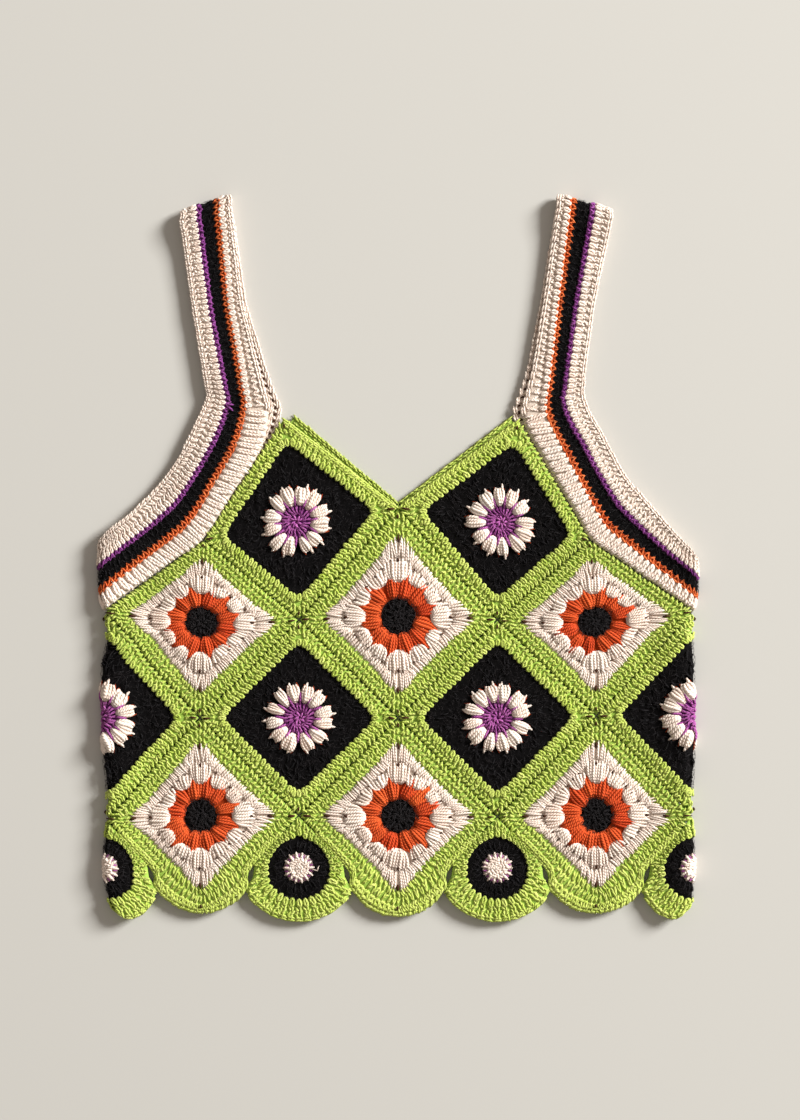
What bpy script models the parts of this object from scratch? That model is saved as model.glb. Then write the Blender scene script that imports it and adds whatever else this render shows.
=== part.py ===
# Crocheted cotton top, laid flat: a tube of motif squares set on point,
# closed at the hem by small round motifs, with a striped band round each
# armhole that runs on as the shoulder strap.
#
# Every piece is first drawn on the cloth opened out flat, in millimetres:
# u runs round the garment, 0 at the middle of the front, v runs up it, and
# h stands out of the cloth from the middle of its wall. It is then cut where
# the cloth bends and folded down, so the front lies on the back.
# Front faces +Z, the straps point to +Y, and the back rests on Z = 0.

import math

import bmesh
import bpy
from mathutils import Vector

# Driving dimensions, in millimetres
WALL = 3.2                # one layer of crochet
SEAM = 0.3                # gap between joined pieces
LAYER_GAP = 0.3           # gap between the front and the back
HALF_PITCH = 71.5         # half of a square's diagonal, six squares round
FOLD_RADIUS = 3.4         # middle of the wall round a side fold
SETTLE = 32.0             # the front sinks on to the back over this width
WAVE_FROM = 120.0         # the side edges wave only further out than this
FIELD = 54.0              # half diagonal of a square inside its green border
PETAL_IN, PETAL_CREST, PETAL_OUT = 11.5, 19.0, 26.0
DISC, RING = 10.5, 20.5   # cream disc and black ring of a small motif
SQUARE_REACH = 50.0       # from the middle of a square to its seams
SMALL_REACH = 26.0        # the same in a small motif
BAND_STANDS_OUT = 2.1     # the armhole bands reach past the sides
BAND_SEAM = 0.21          # the band's share of the seam, measured across it
BENDS = 3                 # flat strips in a quarter of a side fold
MM = 0.001

# Worked out from them
HALF = WALL / 2
SIDE = 3 * HALF_PITCH
QUARTER = FOLD_RADIUS * math.pi / 2
FLAT_EDGE = SIDE - QUARTER
FOLD_Z = HALF + FOLD_RADIUS
FRONT_Z = WALL + LAYER_GAP + HALF
FOLD_RISE = FOLD_Z + FOLD_RADIUS - FRONT_Z

# Heights of the corners where squares meet
LEVEL = {
    "tip": 100.0, "one": 13.0, "two": -44.6, "three": -115.2,
    "four": -185.6, "hem": -255.2,
}

# How far single corners lie off the even lattice: (level, column): (x, y)
NUDGE = {
    ("tip", -1): (-11.3, 0.8), ("tip", 1): (15.6, -0.6),
    ("one", -2): (2.6, 0.0), ("one", 0): (0.0, 23.0), ("one", 2): (-4.8, 0.0),
    ("two", -3): (0.0, 6.1), ("two", 3): (0.0, 6.1),
    ("three", 2): (0.0, 1.4), ("four", -3): (0.0, -2.6),
    ("four", 1): (0.0, -0.9), ("hem", 0): (0.0, -2.2),
}
BACK_NUDGE = {
    ("tip", -1): (-3.3, 2.6), ("tip", 1): (9.9, 1.5),
    ("one", 0): (0.0, 26.6),
}

# How far each side edge stands out (+) or in (-): v, left, right
EDGE_WAVE = (
    (-31.0, -1.8, -1.1), (-60.0, -4.7, -1.8),
    (-75.0, -0.4, -0.4), (-103.0, -0.4, -0.4), (-146.0, -1.8, -0.4),
    (-175.0, -4.7, -2.5), (-197.0, -3.2, -1.1), (-211.0, -1.8, -0.4),
    (-233.0, -2.5, -1.0), (-247.0, -5.4, -1.8), (-256.0, -9.2, -5.4),
)

# Hem: where a small motif meets the square beside it, as the distance from
# the small motif's column and v, and the open gap between the two
HOLE_TOP = (33.0, -220.5)
HOLE_MIDDLE = (35.2, -228.0)
HOLE_BOTTOM = (36.6, -234.8)
HOLE_HALF_WIDTH = 2.9
VALLEY = (39.6, -240.3)
SMALL_CENTRE = -223.2
SMALL_HEM = -262.36
PINCH, PINCH_WIDTH = 10.0, 14.0   # the hem draws up where it is folded

# Straps: outer x, outer y, neck x, neck y, from the shoulder to the elbow
STRAP = {
    "left": (
        (-157.7, 249.8, -121.0, 262.1), (-148.3, 178.6, -111.6, 183.6),
        (-140.6, 131.0, -99.4, 133.9), (-138.4, 116.0, -92.2, 105.8),
    ),
    "right": (
        (155.5, 251.3, 115.2, 262.1), (141.8, 183.0, 104.5, 185.0),
        (135.4, 134.6, 96.5, 136.0), (134.5, 118.0, 88.5, 103.0),
    ),
}
# Armhole: outer x, outer y, and how far along the squares' two edges the
# inner side is, 0 at the tip, 1 at the armhole corner, 2 at the side fold
ARMHOLE = {
    "left": (
        (-138.2, 113.8, 0.0), (-146.9, 95.8, 0.27), (-157.0, 74.2, 0.56),
        (-171.4, 53.3, 1.0), (-190.1, 33.8, 1.3), (-203.0, 23.5, 1.6),
    ),
    "right": (
        (134.8, 114.0, 0.0), (139.5, 104.0, 0.17), (146.9, 91.4, 0.36),
        (155.5, 74.0, 0.6), (165.0, 57.6, 0.84), (174.2, 46.8, 1.0),
        (188.6, 29.5, 1.3), (201.0, 15.5, 1.6),
    ),
}
# Height of the armhole's edge at the side fold and where the fold begins
UNDERARM = {"left": (13.0, 18.0), "right": (0.7, 7.0)}
# The back strap drifts towards the neck by this much at its foot
BACK_DRIFT = {"left": 8.0, "right": -5.7}
STRAP_STEPS = (0.0, 0.03, 0.07, 0.12, 0.2, 0.33, 0.66, 1.0)

# A band's rows: share of its width from the armhole edge, height
BAND_ROWS = (
    (0.0, 0.0), (0.05, 0.6), (0.31, 0.2), (0.37, 0.6), (0.41, 0.2),
    (0.53, 0.9), (0.66, 0.2), (0.71, 0.6), (0.76, 0.2), (0.95, 0.6),
    (1.0, 0.0),
)

# Rings of a square from its middle out: what it follows, how far out, the
# height on a petal and the height between petals
SHELL_SQUARE = (
    ("middle", 0.0, 0.7, 0.7), ("round", PETAL_IN, 0.4, 0.4),
    ("round", PETAL_CREST, 1.6, 0.7), ("round", PETAL_OUT, 0.9, 0.9),
    ("square", FIELD, 0.2, 0.2),
    ("border", 0.2, 1.1, 1.1), ("border", 0.85, 0.8, 0.8),
)
FLOWER_SQUARE = (
    ("middle", 0.0, 0.9, 0.9), ("round", PETAL_IN, 0.6, 0.6),
    ("round", PETAL_CREST, 1.9, 0.8), ("round", PETAL_OUT, 1.3, 0.2),
    ("square", FIELD, 0.0, 0.0),
    ("border", 0.2, 1.1, 1.1), ("border", 0.85, 0.8, 0.8),
)
SMALL_ROUND = (
    ("middle", 0.0, 1.3, 1.3), ("round", DISC, 0.7, 0.7),
    ("round", RING, 0.1, 0.1),
    ("border", 0.2, 1.1, 1.1), ("border", 0.85, 0.8, 0.8),
)

COLOURS = {
    "black_mohair": (0.007, 0.006, 0.007),
    "cream_cotton": (0.78, 0.69, 0.59),
    "green_cotton": (0.33, 0.50, 0.07),
}


def smooth(t):
    """Ease from 0 to 1."""
    t = min(1.0, max(0.0, t))
    return t * t * (3 - 2 * t)


def mix(a, b, t):
    """Point or number at share t of the way from a to b."""
    if isinstance(a, tuple):
        return tuple(p + (q - p) * t for p, q in zip(a, b))
    return a + (b - a) * t


def edge_wave(v, column):
    """How far the side edge stands out at height v."""
    rows = sorted(EDGE_WAVE)
    if v <= rows[0][0]:
        return rows[0][column]
    for low, high in zip(rows, rows[1:]):
        if v <= high[0]:
            return mix(low[column], high[column], (v - low[0]) / (high[0] - low[0]))
    return rows[-1][column]


def fold(u, v, h, lift=0.0, band=0.0):
    """Place of a point of the opened cloth when it is folded and laid down.

    lift raises the front near the shoulder fold, and band, from 0 to 1, lets
    an armhole band reach past the side.
    """
    hand = 1 if u > 0 else -1
    front = abs(u) <= SIDE
    across = u if front else hand * 2 * SIDE - u
    hand = 1 if across > 0 else -1
    face = 1 if front else -1
    from_fold = SIDE - abs(across)
    if from_fold < QUARTER:
        turn = from_fold / FOLD_RADIUS
        out = FLAT_EDGE + (FOLD_RADIUS + h) * math.cos(turn)
        z = FOLD_Z + face * (FOLD_RADIUS + h) * math.sin(turn)
    elif front:
        rise = FOLD_RISE * (1 - smooth((from_fold - QUARTER) / SETTLE))
        out, z = abs(across), FRONT_Z + max(rise, lift) + h
    else:
        out, z = abs(across), HALF - h
    wave = mix(edge_wave(v, 2 if hand > 0 else 1), BAND_STANDS_OUT, band)
    out += wave * smooth((abs(across) - WAVE_FROM) / (FLAT_EDGE - WAVE_FROM))
    return Vector((hand * out, v, max(z, 0.0))) * MM


def corner(face, level, column):
    """Opened-out place of a corner of the lattice, columns -3 to 3."""
    dx, dy = NUDGE.get((level, column), (0.0, 0.0))
    if face == "back":
        dx, dy = BACK_NUDGE.get((level, column), (dx, dy))
    x, y = column * HALF_PITCH + dx, LEVEL[level] + dy
    if face == "front":
        return x, y
    return 2 * SIDE - x, y


def over_left(point):
    """The same point of the back, counted round past the left fold."""
    return point[0] - 4 * SIDE, point[1]


def inside(corners, a, b):
    """Point of a square, with its corners east, north, west and south."""
    east, north, west, south = corners
    s, t = a + b, b - a
    weights = ((1 + s) * (1 - t), (1 + s) * (1 + t), (1 - s) * (1 + t), (1 - s) * (1 - t))
    points = (east, north, west, south)
    return tuple(sum(w * p[k] for w, p in zip(weights, points)) / 4 for k in (0, 1))


def diamond_reach(angle):
    """How far out a diamond's side is in this direction."""
    return 1 / (abs(math.cos(angle)) + abs(math.sin(angle)))


def square_rim(corners, steps=24):
    """Outline of a square as (point, direction)."""
    rim = []
    for step in range(steps):
        angle = 2 * math.pi * step / steps
        reach = diamond_reach(angle)
        point = inside(corners, reach * math.cos(angle), reach * math.sin(angle))
        rim.append((point, angle))
    return rim


def direction(point, centre):
    """Direction of a point from a square's middle, from 0 to one turn."""
    return math.atan2(point[1] - centre[1], point[0] - centre[0]) % (2 * math.pi)


def arc(half_width, top, bottom, share):
    """Point of a round scallop, share 0 at its valley and 1 at its foot."""
    drop = top - bottom
    radius = (half_width ** 2 + drop ** 2) / (2 * drop)
    across = half_width * (1 - share)
    return across, bottom + radius - math.sqrt(radius ** 2 - across ** 2)


def hem_square_rim(corners):
    """Outline of a square of the hem: straight above, a scallop below."""
    middle = corners[3][0]
    half = [(HALF_PITCH - HOLE_TOP[0], HOLE_TOP[1])]
    half.append((HALF_PITCH - HOLE_MIDDLE[0] - HOLE_HALF_WIDTH, HOLE_MIDDLE[1]))
    half.append((HALF_PITCH - HOLE_BOTTOM[0], HOLE_BOTTOM[1]))
    foot = HALF_PITCH - VALLEY[0]
    half += [arc(foot, VALLEY[1], corners[3][1], k / 4) for k in range(4)]
    west = [(middle - x, y) for x, y in half]
    east = [(middle + x, y) for x, y in reversed(half)]
    west = [mix(corners[2], west[0], k / 4) for k in (1, 2, 3)] + west
    east += [mix(east[-1], corners[0], k / 4) for k in (1, 2, 3)]
    centre = inside(corners, 0, 0)
    below = [(point, direction(point, centre)) for point in west + [corners[3]] + east]
    return square_rim(corners)[:13] + below


def small_rim(top, folded):
    """Outline of a small motif: it hangs from its top corner."""
    middle = top[0]
    half = [HOLE_TOP, (HOLE_MIDDLE[0] - HOLE_HALF_WIDTH, HOLE_MIDDLE[1]), HOLE_BOTTOM]
    half += [arc(VALLEY[0], VALLEY[1], SMALL_HEM, k / 5) for k in range(5)]
    foot = SMALL_HEM
    if folded:
        half = [(x, y + PINCH * max(0, 1 - x / PINCH_WIDTH) ** 2) for x, y in half]
        foot += PINCH
    half = [mix((0.0, top[1]), half[0], k / 4) for k in (1, 2, 3)] + half
    west = [(middle - x, y) for x, y in half]
    east = [(middle + x, y) for x, y in reversed(half)]
    points = [top] + west + [(middle, foot)] + east
    centre = (middle, SMALL_CENTRE)
    return [(point, direction(point, centre)) for point in points]


def motif_point(kind, out, rim_point, angle, corners, centre):
    """Flat place of one ring's point in this direction."""
    if kind == "round":
        x, y = out * math.cos(angle), out * math.sin(angle)
        return centre[0] + x, centre[1] + y
    reach = diamond_reach(angle) * FIELD / HALF_PITCH
    if corners:
        field = inside(corners, reach * math.cos(angle), reach * math.sin(angle))
    else:
        field = (centre[0] + RING * math.cos(angle), centre[1] + RING * math.sin(angle))
    if kind == "square":
        return mix(centre, field, out / FIELD)
    return mix(field, rim_point, out)


def skin(bm, lower, upper):
    """Join two rings of points of equal count."""
    count = len(lower)
    for i in range(count):
        j = (i + 1) % count
        bm.faces.new((lower[i], lower[j], upper[j], upper[i]))


def raised_motif(rim, rings, corners, centre, reach):
    """Closed flat solid of a motif, its stitched side shaped by the rings."""
    bm = bmesh.new()
    shrink = 1 - SEAM / 2 / reach
    rim = [(mix(centre, point, shrink), angle) for point, angle in rim]
    bottom = [bm.verts.new((*point, -HALF)) for point, _ in rim]
    previous = [bm.verts.new((*point, HALF)) for point, _ in rim]
    bm.faces.new(list(reversed(bottom)))
    skin(bm, bottom, previous)
    for kind, out, on_petal, between in reversed(rings[1:]):
        ring = []
        for rim_point, angle in rim:
            petal = 0.5 - 0.5 * math.cos(12 * angle)
            place = motif_point(kind, out, rim_point, angle, corners, centre)
            ring.append(bm.verts.new((*place, HALF + mix(between, on_petal, petal))))
        skin(bm, previous, ring)
        previous = ring
    top = bm.verts.new((*centre, HALF + rings[0][2]))
    for i, vert in enumerate(previous):
        bm.faces.new((vert, previous[(i + 1) % len(previous)], top))
    return bm


def plain_motif(rim, centre, reach):
    """Closed flat solid of a motif of the back, plain where it rests."""
    bm = bmesh.new()
    shrink = 1 - SEAM / 2 / reach
    bottom = [bm.verts.new((*mix(centre, point, shrink), -HALF)) for point, _ in rim]
    face = bm.faces.new(list(reversed(bottom)))
    grown = bmesh.ops.extrude_face_region(bm, geom=[face])["geom"]
    verts = [item for item in grown if isinstance(item, bmesh.types.BMVert)]
    bmesh.ops.translate(bm, vec=(0, 0, WALL), verts=verts)
    bmesh.ops.recalc_face_normals(bm, faces=bm.faces)
    return bm


def fold_lines():
    """Lines of the opened cloth along which it is cut to be bent."""
    steps = [QUARTER * k / BENDS for k in range(BENDS + 1)]
    steps += [QUARTER + SETTLE * k / 3 for k in (1, 2, 3)]
    lines = set()
    for side in (-SIDE, SIDE, 3 * SIDE):
        for step in steps:
            front = side + step if side < 0 else side - step
            lines.add(front if side < 2 * SIDE else side - step)
            if step <= QUARTER:
                lines.add(2 * side - front if side < 2 * SIDE else side + step)
    return sorted(lines)


def split_walls(bm):
    """Split each upright face the same way, so that bent seams stay apart."""
    bm.normal_update()
    walls = [face for face in bm.faces if len(face.verts) == 4 and abs(face.normal.z) < 0.1]
    for face in walls:
        low = min((vert for vert in face.verts if vert.co.z < 0), key=lambda vert: vert.co.xy[:])
        high = max((vert for vert in face.verts if vert.co.z > 0), key=lambda vert: vert.co.xy[:])
        bmesh.utils.face_split(face, low, high)


def finish(name, bm, colour, folded=True):
    """Bend a flat solid and keep it as a named object."""
    if folded:
        for line in fold_lines():
            geometry = bm.verts[:] + bm.edges[:] + bm.faces[:]
            bmesh.ops.bisect_plane(
                bm, geom=geometry, dist=0.01, plane_co=(line, 0, 0), plane_no=(1, 0, 0))
        split_walls(bm)
        bmesh.ops.triangulate(bm, faces=bm.faces)
        for vert in bm.verts:
            vert.co = fold(*vert.co)
    mesh = bpy.data.meshes.new(name)
    bm.to_mesh(mesh)
    bm.free()
    mesh.materials.append(materials[colour])
    piece = bpy.data.objects.new(name, mesh)
    bpy.context.scene.collection.objects.link(piece)
    piece.parent = garment


def yarn(name, colour):
    """Plain cotton or mohair in one colour."""
    material = bpy.data.materials.new(name)
    material.use_nodes = True
    shader = material.node_tree.nodes["Principled BSDF"]
    shader.inputs["Base Color"].default_value = (*colour, 1)
    shader.inputs["Roughness"].default_value = 0.9
    shader.inputs["Metallic"].default_value = 0.0
    return material


def square(name, face, corners, rings, colour, hem=False):
    """One square of the front, raised, or of the back, plain."""
    centre = inside(corners, 0, 0)
    if face == "back":
        rim = hem_square_rim(corners) if hem else square_rim(corners, 4)
        bm = plain_motif(rim, centre, SQUARE_REACH)
    else:
        rim = hem_square_rim(corners) if hem else square_rim(corners)
        bm = raised_motif(rim, rings, corners, centre, SQUARE_REACH)
    finish(name, bm, colour)


def make_squares():
    """The squares of the front and the back, row by row."""
    rows = (
        ("top", (-1, 1), "tip", "one", "two"),
        ("second", (-2, 0, 2), "one", "two", "three"),
        ("third", (-1, 1), "two", "three", "four"),
        ("fourth", (-2, 0, 2), "three", "four", "hem"),
    )
    names = {-2: "left", -1: "left", 0: "middle", 1: "right", 2: "right"}
    for face in ("front", "back"):
        for row, columns, above, beside, below in rows:
            for column in columns:
                east, west = (corner(face, beside, column + step) for step in (1, -1))
                if face == "back":
                    east, west = west, east
                corners = [east, corner(face, above, column), west, corner(face, below, column)]
                black = row in ("top", "third")
                square(
                    f"{face}_{row}_{names[column]}", face, corners,
                    FLOWER_SQUARE if black else SHELL_SQUARE,
                    "black_mohair" if black else "cream_cotton", hem=row == "fourth")


def make_side_squares():
    """The two black squares that are folded down their middle."""
    for name, column, hand in (("left", -3, -1), ("right", 3, 1)):
        front = corner("front", "three", column - hand)
        back = corner("back", "three", column - hand)
        if hand < 0:
            back = over_left(back)
        east, west = (back, front) if hand > 0 else (front, back)
        corners = [east, corner("front", "two", column), west, corner("front", "four", column)]
        centre = inside(corners, 0, 0)
        rim = square_rim(corners)
        bm = raised_motif(rim, FLOWER_SQUARE, corners, centre, SQUARE_REACH)
        finish(f"side_third_{name}", bm, "black_mohair")


def make_small_motifs():
    """The small round motifs that fill the hem."""
    for face in ("front", "back"):
        for name, column in (("left", -1), ("right", 1)):
            top = corner(face, "four", column)
            rim = small_rim(top, folded=False)
            centre = (top[0], SMALL_CENTRE)
            if face == "front":
                bm = raised_motif(rim, SMALL_ROUND, None, centre, SMALL_REACH)
            else:
                bm = plain_motif(rim, centre, SMALL_REACH)
            finish(f"{face}_hem_{name}", bm, "green_cotton")
    for name, column in (("left", -3), ("right", 3)):
        top = corner("front", "four", column)
        centre = (top[0], SMALL_CENTRE)
        rim = small_rim(top, folded=True)
        bm = raised_motif(rim, SMALL_ROUND, None, centre, SMALL_REACH)
        finish(f"side_hem_{name}", bm, "green_cotton")


def strap_row(side, share):
    """Outer and neck point of the front strap, share 0 at the shoulder."""
    table = STRAP[side]
    place = share * (len(table) - 1)
    i = min(int(place), len(table) - 2)
    row = mix(table[i], table[i + 1], place - i)
    return row[:2], row[2:]


def shoulder(side):
    """Foot of the shoulder fold: its outer and neck point, and the way up."""
    outer, neck = (Vector(point) for point in strap_row(side, 0))
    along = (neck - outer).normalized()
    up = Vector((-along.y, along.x))
    up = up if up.y > 0 else -up
    reach = FOLD_RADIUS + HALF
    return outer - up * reach, neck - up * reach, up


def inner_edge(face, side, along):
    """Point of the band's joined edge, 0 at the tip to 2 at the side fold."""
    hand = -1 if side == "left" else 1
    stops = [corner(face, "tip", hand), corner(face, "one", 2 * hand),
             corner(face, "two", 3 * hand)]
    if face == "back":
        stops = [(2 * SIDE - u, v) for u, v in stops]
    i = min(int(along), 1)
    return mix(stops[i], stops[i + 1], along - i)


def band_stations(side):
    """Lines across the band, all the way round it.

    Each is a function of the share of the width and the height, and gives a
    place in metres.
    """
    hand = -1 if side == "left" else 1
    foot_outer, foot_neck, up = shoulder(side)

    def flat(face, outer, inner, lift=0.0):
        inner = mix(inner, outer, BAND_SEAM / math.dist(inner, outer))

        def place(share, height):
            x, y = mix(outer, inner, share)
            own_edge = 1 - share ** 6
            if face == "front":
                return fold(x, y, HALF + height, lift, own_edge)
            if height > -WALL:
                height = 0.0
            return fold(hand * 2 * SIDE - x, y, HALF + height, band=own_edge)
        return place

    def shoulder_turn(angle):
        def place(share, height):
            foot = foot_outer.lerp(foot_neck, share)
            reach = FOLD_RADIUS + HALF + height * max(0.0, math.cos(angle) if angle < 0 else 1.0)
            if height <= -WALL:
                reach = FOLD_RADIUS - HALF
            x, y = foot + up * reach * math.cos(angle)
            return Vector((x, y, FOLD_Z + reach * math.sin(angle))) * MM
        return place

    def strap(face):
        drift = BACK_DRIFT[side] if face == "back" else 0.0
        stations = []
        for share in STRAP_STEPS:
            outer, neck = strap_row(side, share)
            if share == 0:
                outer, neck = tuple(foot_outer), tuple(foot_neck)
            down = (foot_neck - Vector(neck)).dot(up)
            lift = FOLD_RISE * (1 - smooth(down / SETTLE))
            outer = (outer[0] + drift * share, outer[1])
            neck = (neck[0] + drift * share, neck[1])
            stations.append(flat(face, outer, neck, lift))
        return stations

    def armhole(face):
        drift = BACK_DRIFT[side] if face == "back" else 0.0
        stations = []
        for x, y, along in ARMHOLE[side]:
            outer = (x + drift * (1 - along / 2), y)
            stations.append(flat(face, outer, inner_edge(face, side, along)))
        return stations

    def underarm(face, step):
        at = FLAT_EDGE + QUARTER * step / BENDS
        corner_x = inner_edge(face, side, 1)[0]
        along = 1 + (at - abs(corner_x)) / (SIDE - abs(corner_x))
        inner = inner_edge(face, side, along)
        edge = mix(UNDERARM[side][1], UNDERARM[side][0], math.sin(step / BENDS * math.pi / 2))
        return flat(face, (hand * at, edge), (hand * at, inner[1]))

    stations = [shoulder_turn(math.radians(angle)) for angle in (-60, -30, 0, 30, 60)]
    stations += strap("front") + armhole("front")
    stations += [underarm("front", step) for step in range(BENDS + 1)]
    stations += [underarm("back", step) for step in reversed(range(BENDS))]
    stations += list(reversed(armhole("back"))) + list(reversed(strap("back")))
    return stations


def make_band(side):
    """Armhole band and shoulder strap as one ring, folded flat."""
    bm = bmesh.new()
    rings = []
    for place in band_stations(side):
        points = [place(share, height) for share, height in BAND_ROWS]
        points += [place(1.0, -WALL), place(0.0, -WALL)]
        rings.append([bm.verts.new(point) for point in points])
    for ring, following in zip(rings, rings[1:] + rings[:1]):
        skin(bm, ring, following)
    bmesh.ops.recalc_face_normals(bm, faces=bm.faces)
    bmesh.ops.triangulate(bm, faces=bm.faces)
    finish(f"band_{side}", bm, "cream_cotton", folded=False)


for old in list(bpy.data.objects):
    bpy.data.objects.remove(old)

garment = bpy.data.objects.new("garment", None)
bpy.context.scene.collection.objects.link(garment)
materials = {name: yarn(name, colour) for name, colour in COLOURS.items()}

make_squares()
make_side_squares()
make_small_motifs()
for strap_side in ("left", "right"):
    make_band(strap_side)
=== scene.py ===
# Looks of a crocheted cotton top, laid flat: every stitch is a strand of yarn.
# A stitch is placed on the cloth opened out flat, in millimetres: u runs round
# the garment, v up it, and h stands out from the middle of its wall. It is then
# folded down as the solids are, so each stitch lies where its solid is.

import math

import bpy
import numpy as np
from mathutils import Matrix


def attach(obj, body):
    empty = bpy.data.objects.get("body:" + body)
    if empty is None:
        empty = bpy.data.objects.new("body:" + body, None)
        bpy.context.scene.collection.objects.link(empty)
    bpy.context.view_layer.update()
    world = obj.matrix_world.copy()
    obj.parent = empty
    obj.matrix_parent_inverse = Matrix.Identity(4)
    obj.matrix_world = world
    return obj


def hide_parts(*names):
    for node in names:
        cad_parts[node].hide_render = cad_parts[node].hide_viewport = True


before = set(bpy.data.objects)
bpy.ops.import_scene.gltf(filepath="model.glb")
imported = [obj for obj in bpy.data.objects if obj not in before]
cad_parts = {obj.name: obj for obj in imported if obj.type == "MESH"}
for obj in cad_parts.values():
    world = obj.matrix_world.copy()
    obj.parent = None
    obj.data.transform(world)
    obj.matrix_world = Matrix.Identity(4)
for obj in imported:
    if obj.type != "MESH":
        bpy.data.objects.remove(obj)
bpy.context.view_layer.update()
rng = np.random.default_rng(11)
mm = 0.001
fullTurn = 2 * math.pi

cloth = {
    "wall": 3.2, "layerGap": 0.3, "halfPitch": 71.5, "foldRadius": 3.4, "settle": 32.0,
    "waveFrom": 120.0, "field": 54.0, "bandStandsOut": 2.1, "ring": 20.5,
    "smallCentre": -223.2, "smallHem": -262.36, "smallBorder": 15.0,
    "pinch": 10.0, "pinchWidth": 14.0, "pressLimit": 1.2, "pressSoftness": 0.9, "floorGap": 0.02,
}
half = cloth["wall"] / 2
pitch = cloth["halfPitch"]
side = 3 * pitch
foldRadius = cloth["foldRadius"]
quarter = foldRadius * math.pi / 2
flatEdge = side - quarter
foldZ = half + foldRadius
frontZ = cloth["wall"] + cloth["layerGap"] + half
foldRise = foldZ + foldRadius - frontZ

# Corners where squares meet: heights, and how far some lie off the lattice
level = {"tip": 100.0, "one": 13.0, "two": -44.6, "three": -115.2, "four": -185.6, "hem": -255.2}
nudge = {
    ("tip", -1): (-11.3, 0.8), ("tip", 1): (15.6, -0.6), ("one", -2): (2.6, 0.0),
    ("one", 0): (0.0, 23.0), ("one", 2): (-4.8, 0.0), ("two", -3): (0.0, 6.1),
    ("two", 3): (0.0, 6.1), ("three", 2): (0.0, 1.4), ("four", -3): (0.0, -2.6),
    ("four", 1): (0.0, -0.9), ("hem", 0): (0.0, -2.2),
}
backNudge = {("tip", -1): (-3.3, 2.6), ("tip", 1): (9.9, 1.5), ("one", 0): (0.0, 26.6)}
# Side edges from the hem up: v, how far the left and the right one stand out
edgeRows = np.array((
    (-256.0, -9.2, -5.4), (-247.0, -5.4, -1.8), (-233.0, -2.5, -1.0), (-211.0, -1.8, -0.4),
    (-197.0, -3.2, -1.1), (-175.0, -4.7, -2.5), (-146.0, -1.8, -0.4), (-103.0, -0.4, -0.4),
    (-75.0, -0.4, -0.4), (-60.0, -4.7, -1.8), (-31.0, -1.8, -1.1),
))
hem = {
    "holeTop": (33.0, -220.5), "holeMiddle": (35.2, -228.0), "holeBottom": (36.6, -234.8),
    "holeHalfWidth": 2.9, "valley": (39.6, -240.3), "squareSteps": 6, "smallSteps": 8,
}
# Straps from the shoulder down: x and y of the outer edge and of the neck edge
strapTable = {
    "left": ((-157.7, 249.8, -121.0, 262.1), (-148.3, 178.6, -111.6, 183.6),
             (-140.6, 131.0, -99.4, 133.9), (-138.4, 116.0, -92.2, 105.8)),
    "right": ((155.5, 251.3, 115.2, 262.1), (141.8, 183.0, 104.5, 185.0),
              (135.4, 134.6, 96.5, 136.0), (134.5, 118.0, 88.5, 103.0)),
}
# Armhole edges: x, y and how far along the two squares they pass
armholeTable = {
    "left": ((-138.2, 113.8, 0.0), (-146.9, 95.8, 0.27), (-157.0, 74.2, 0.56),
             (-171.4, 53.3, 1.0), (-190.1, 33.8, 1.3), (-203.0, 23.5, 1.6)),
    "right": ((134.8, 114.0, 0.0), (139.5, 104.0, 0.17), (146.9, 91.4, 0.36),
              (155.5, 74.0, 0.6), (165.0, 57.6, 0.84), (174.2, 46.8, 1.0),
              (188.6, 29.5, 1.3), (201.0, 15.5, 1.6)),
}
underarmRise = {"left": (13.0, 18.0), "right": (0.7, 7.0)}
backDrift = {"left": 8.0, "right": -5.7}
bandGrid = {
    "shares": np.linspace(0, 1, 9),
    "heights": np.array((-1.6, -0.6, 0.4, 1.0, 1.6, 2.3, 3.0, 3.8)),
    "strapRows": (0, 0.03, 0.07, 0.12, 0.2, 0.33, 0.5, 0.66, 0.83, 1.0),
    "squareGap": 0.21, "edgePower": 6, "pressAngle": 0.5, "underarmSteps": 3, "overhang": 0.03,
}


def smooth(t):
    t = np.clip(t, 0.0, 1.0)
    return t * t * (3 - 2 * t)


def mix(a, b, t):
    return a + (b - a) * t


def mixPoint(a, b, t):
    return tuple(p + (q - p) * t for p, q in zip(a, b))


def pressed(h):
    # stitches of the back are pressed flat by the surface they lie on
    limit = cloth["pressLimit"] * half
    return np.where(h > 0, limit * h / (np.maximum(h, 0) + cloth["pressSoftness"]), h)


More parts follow.
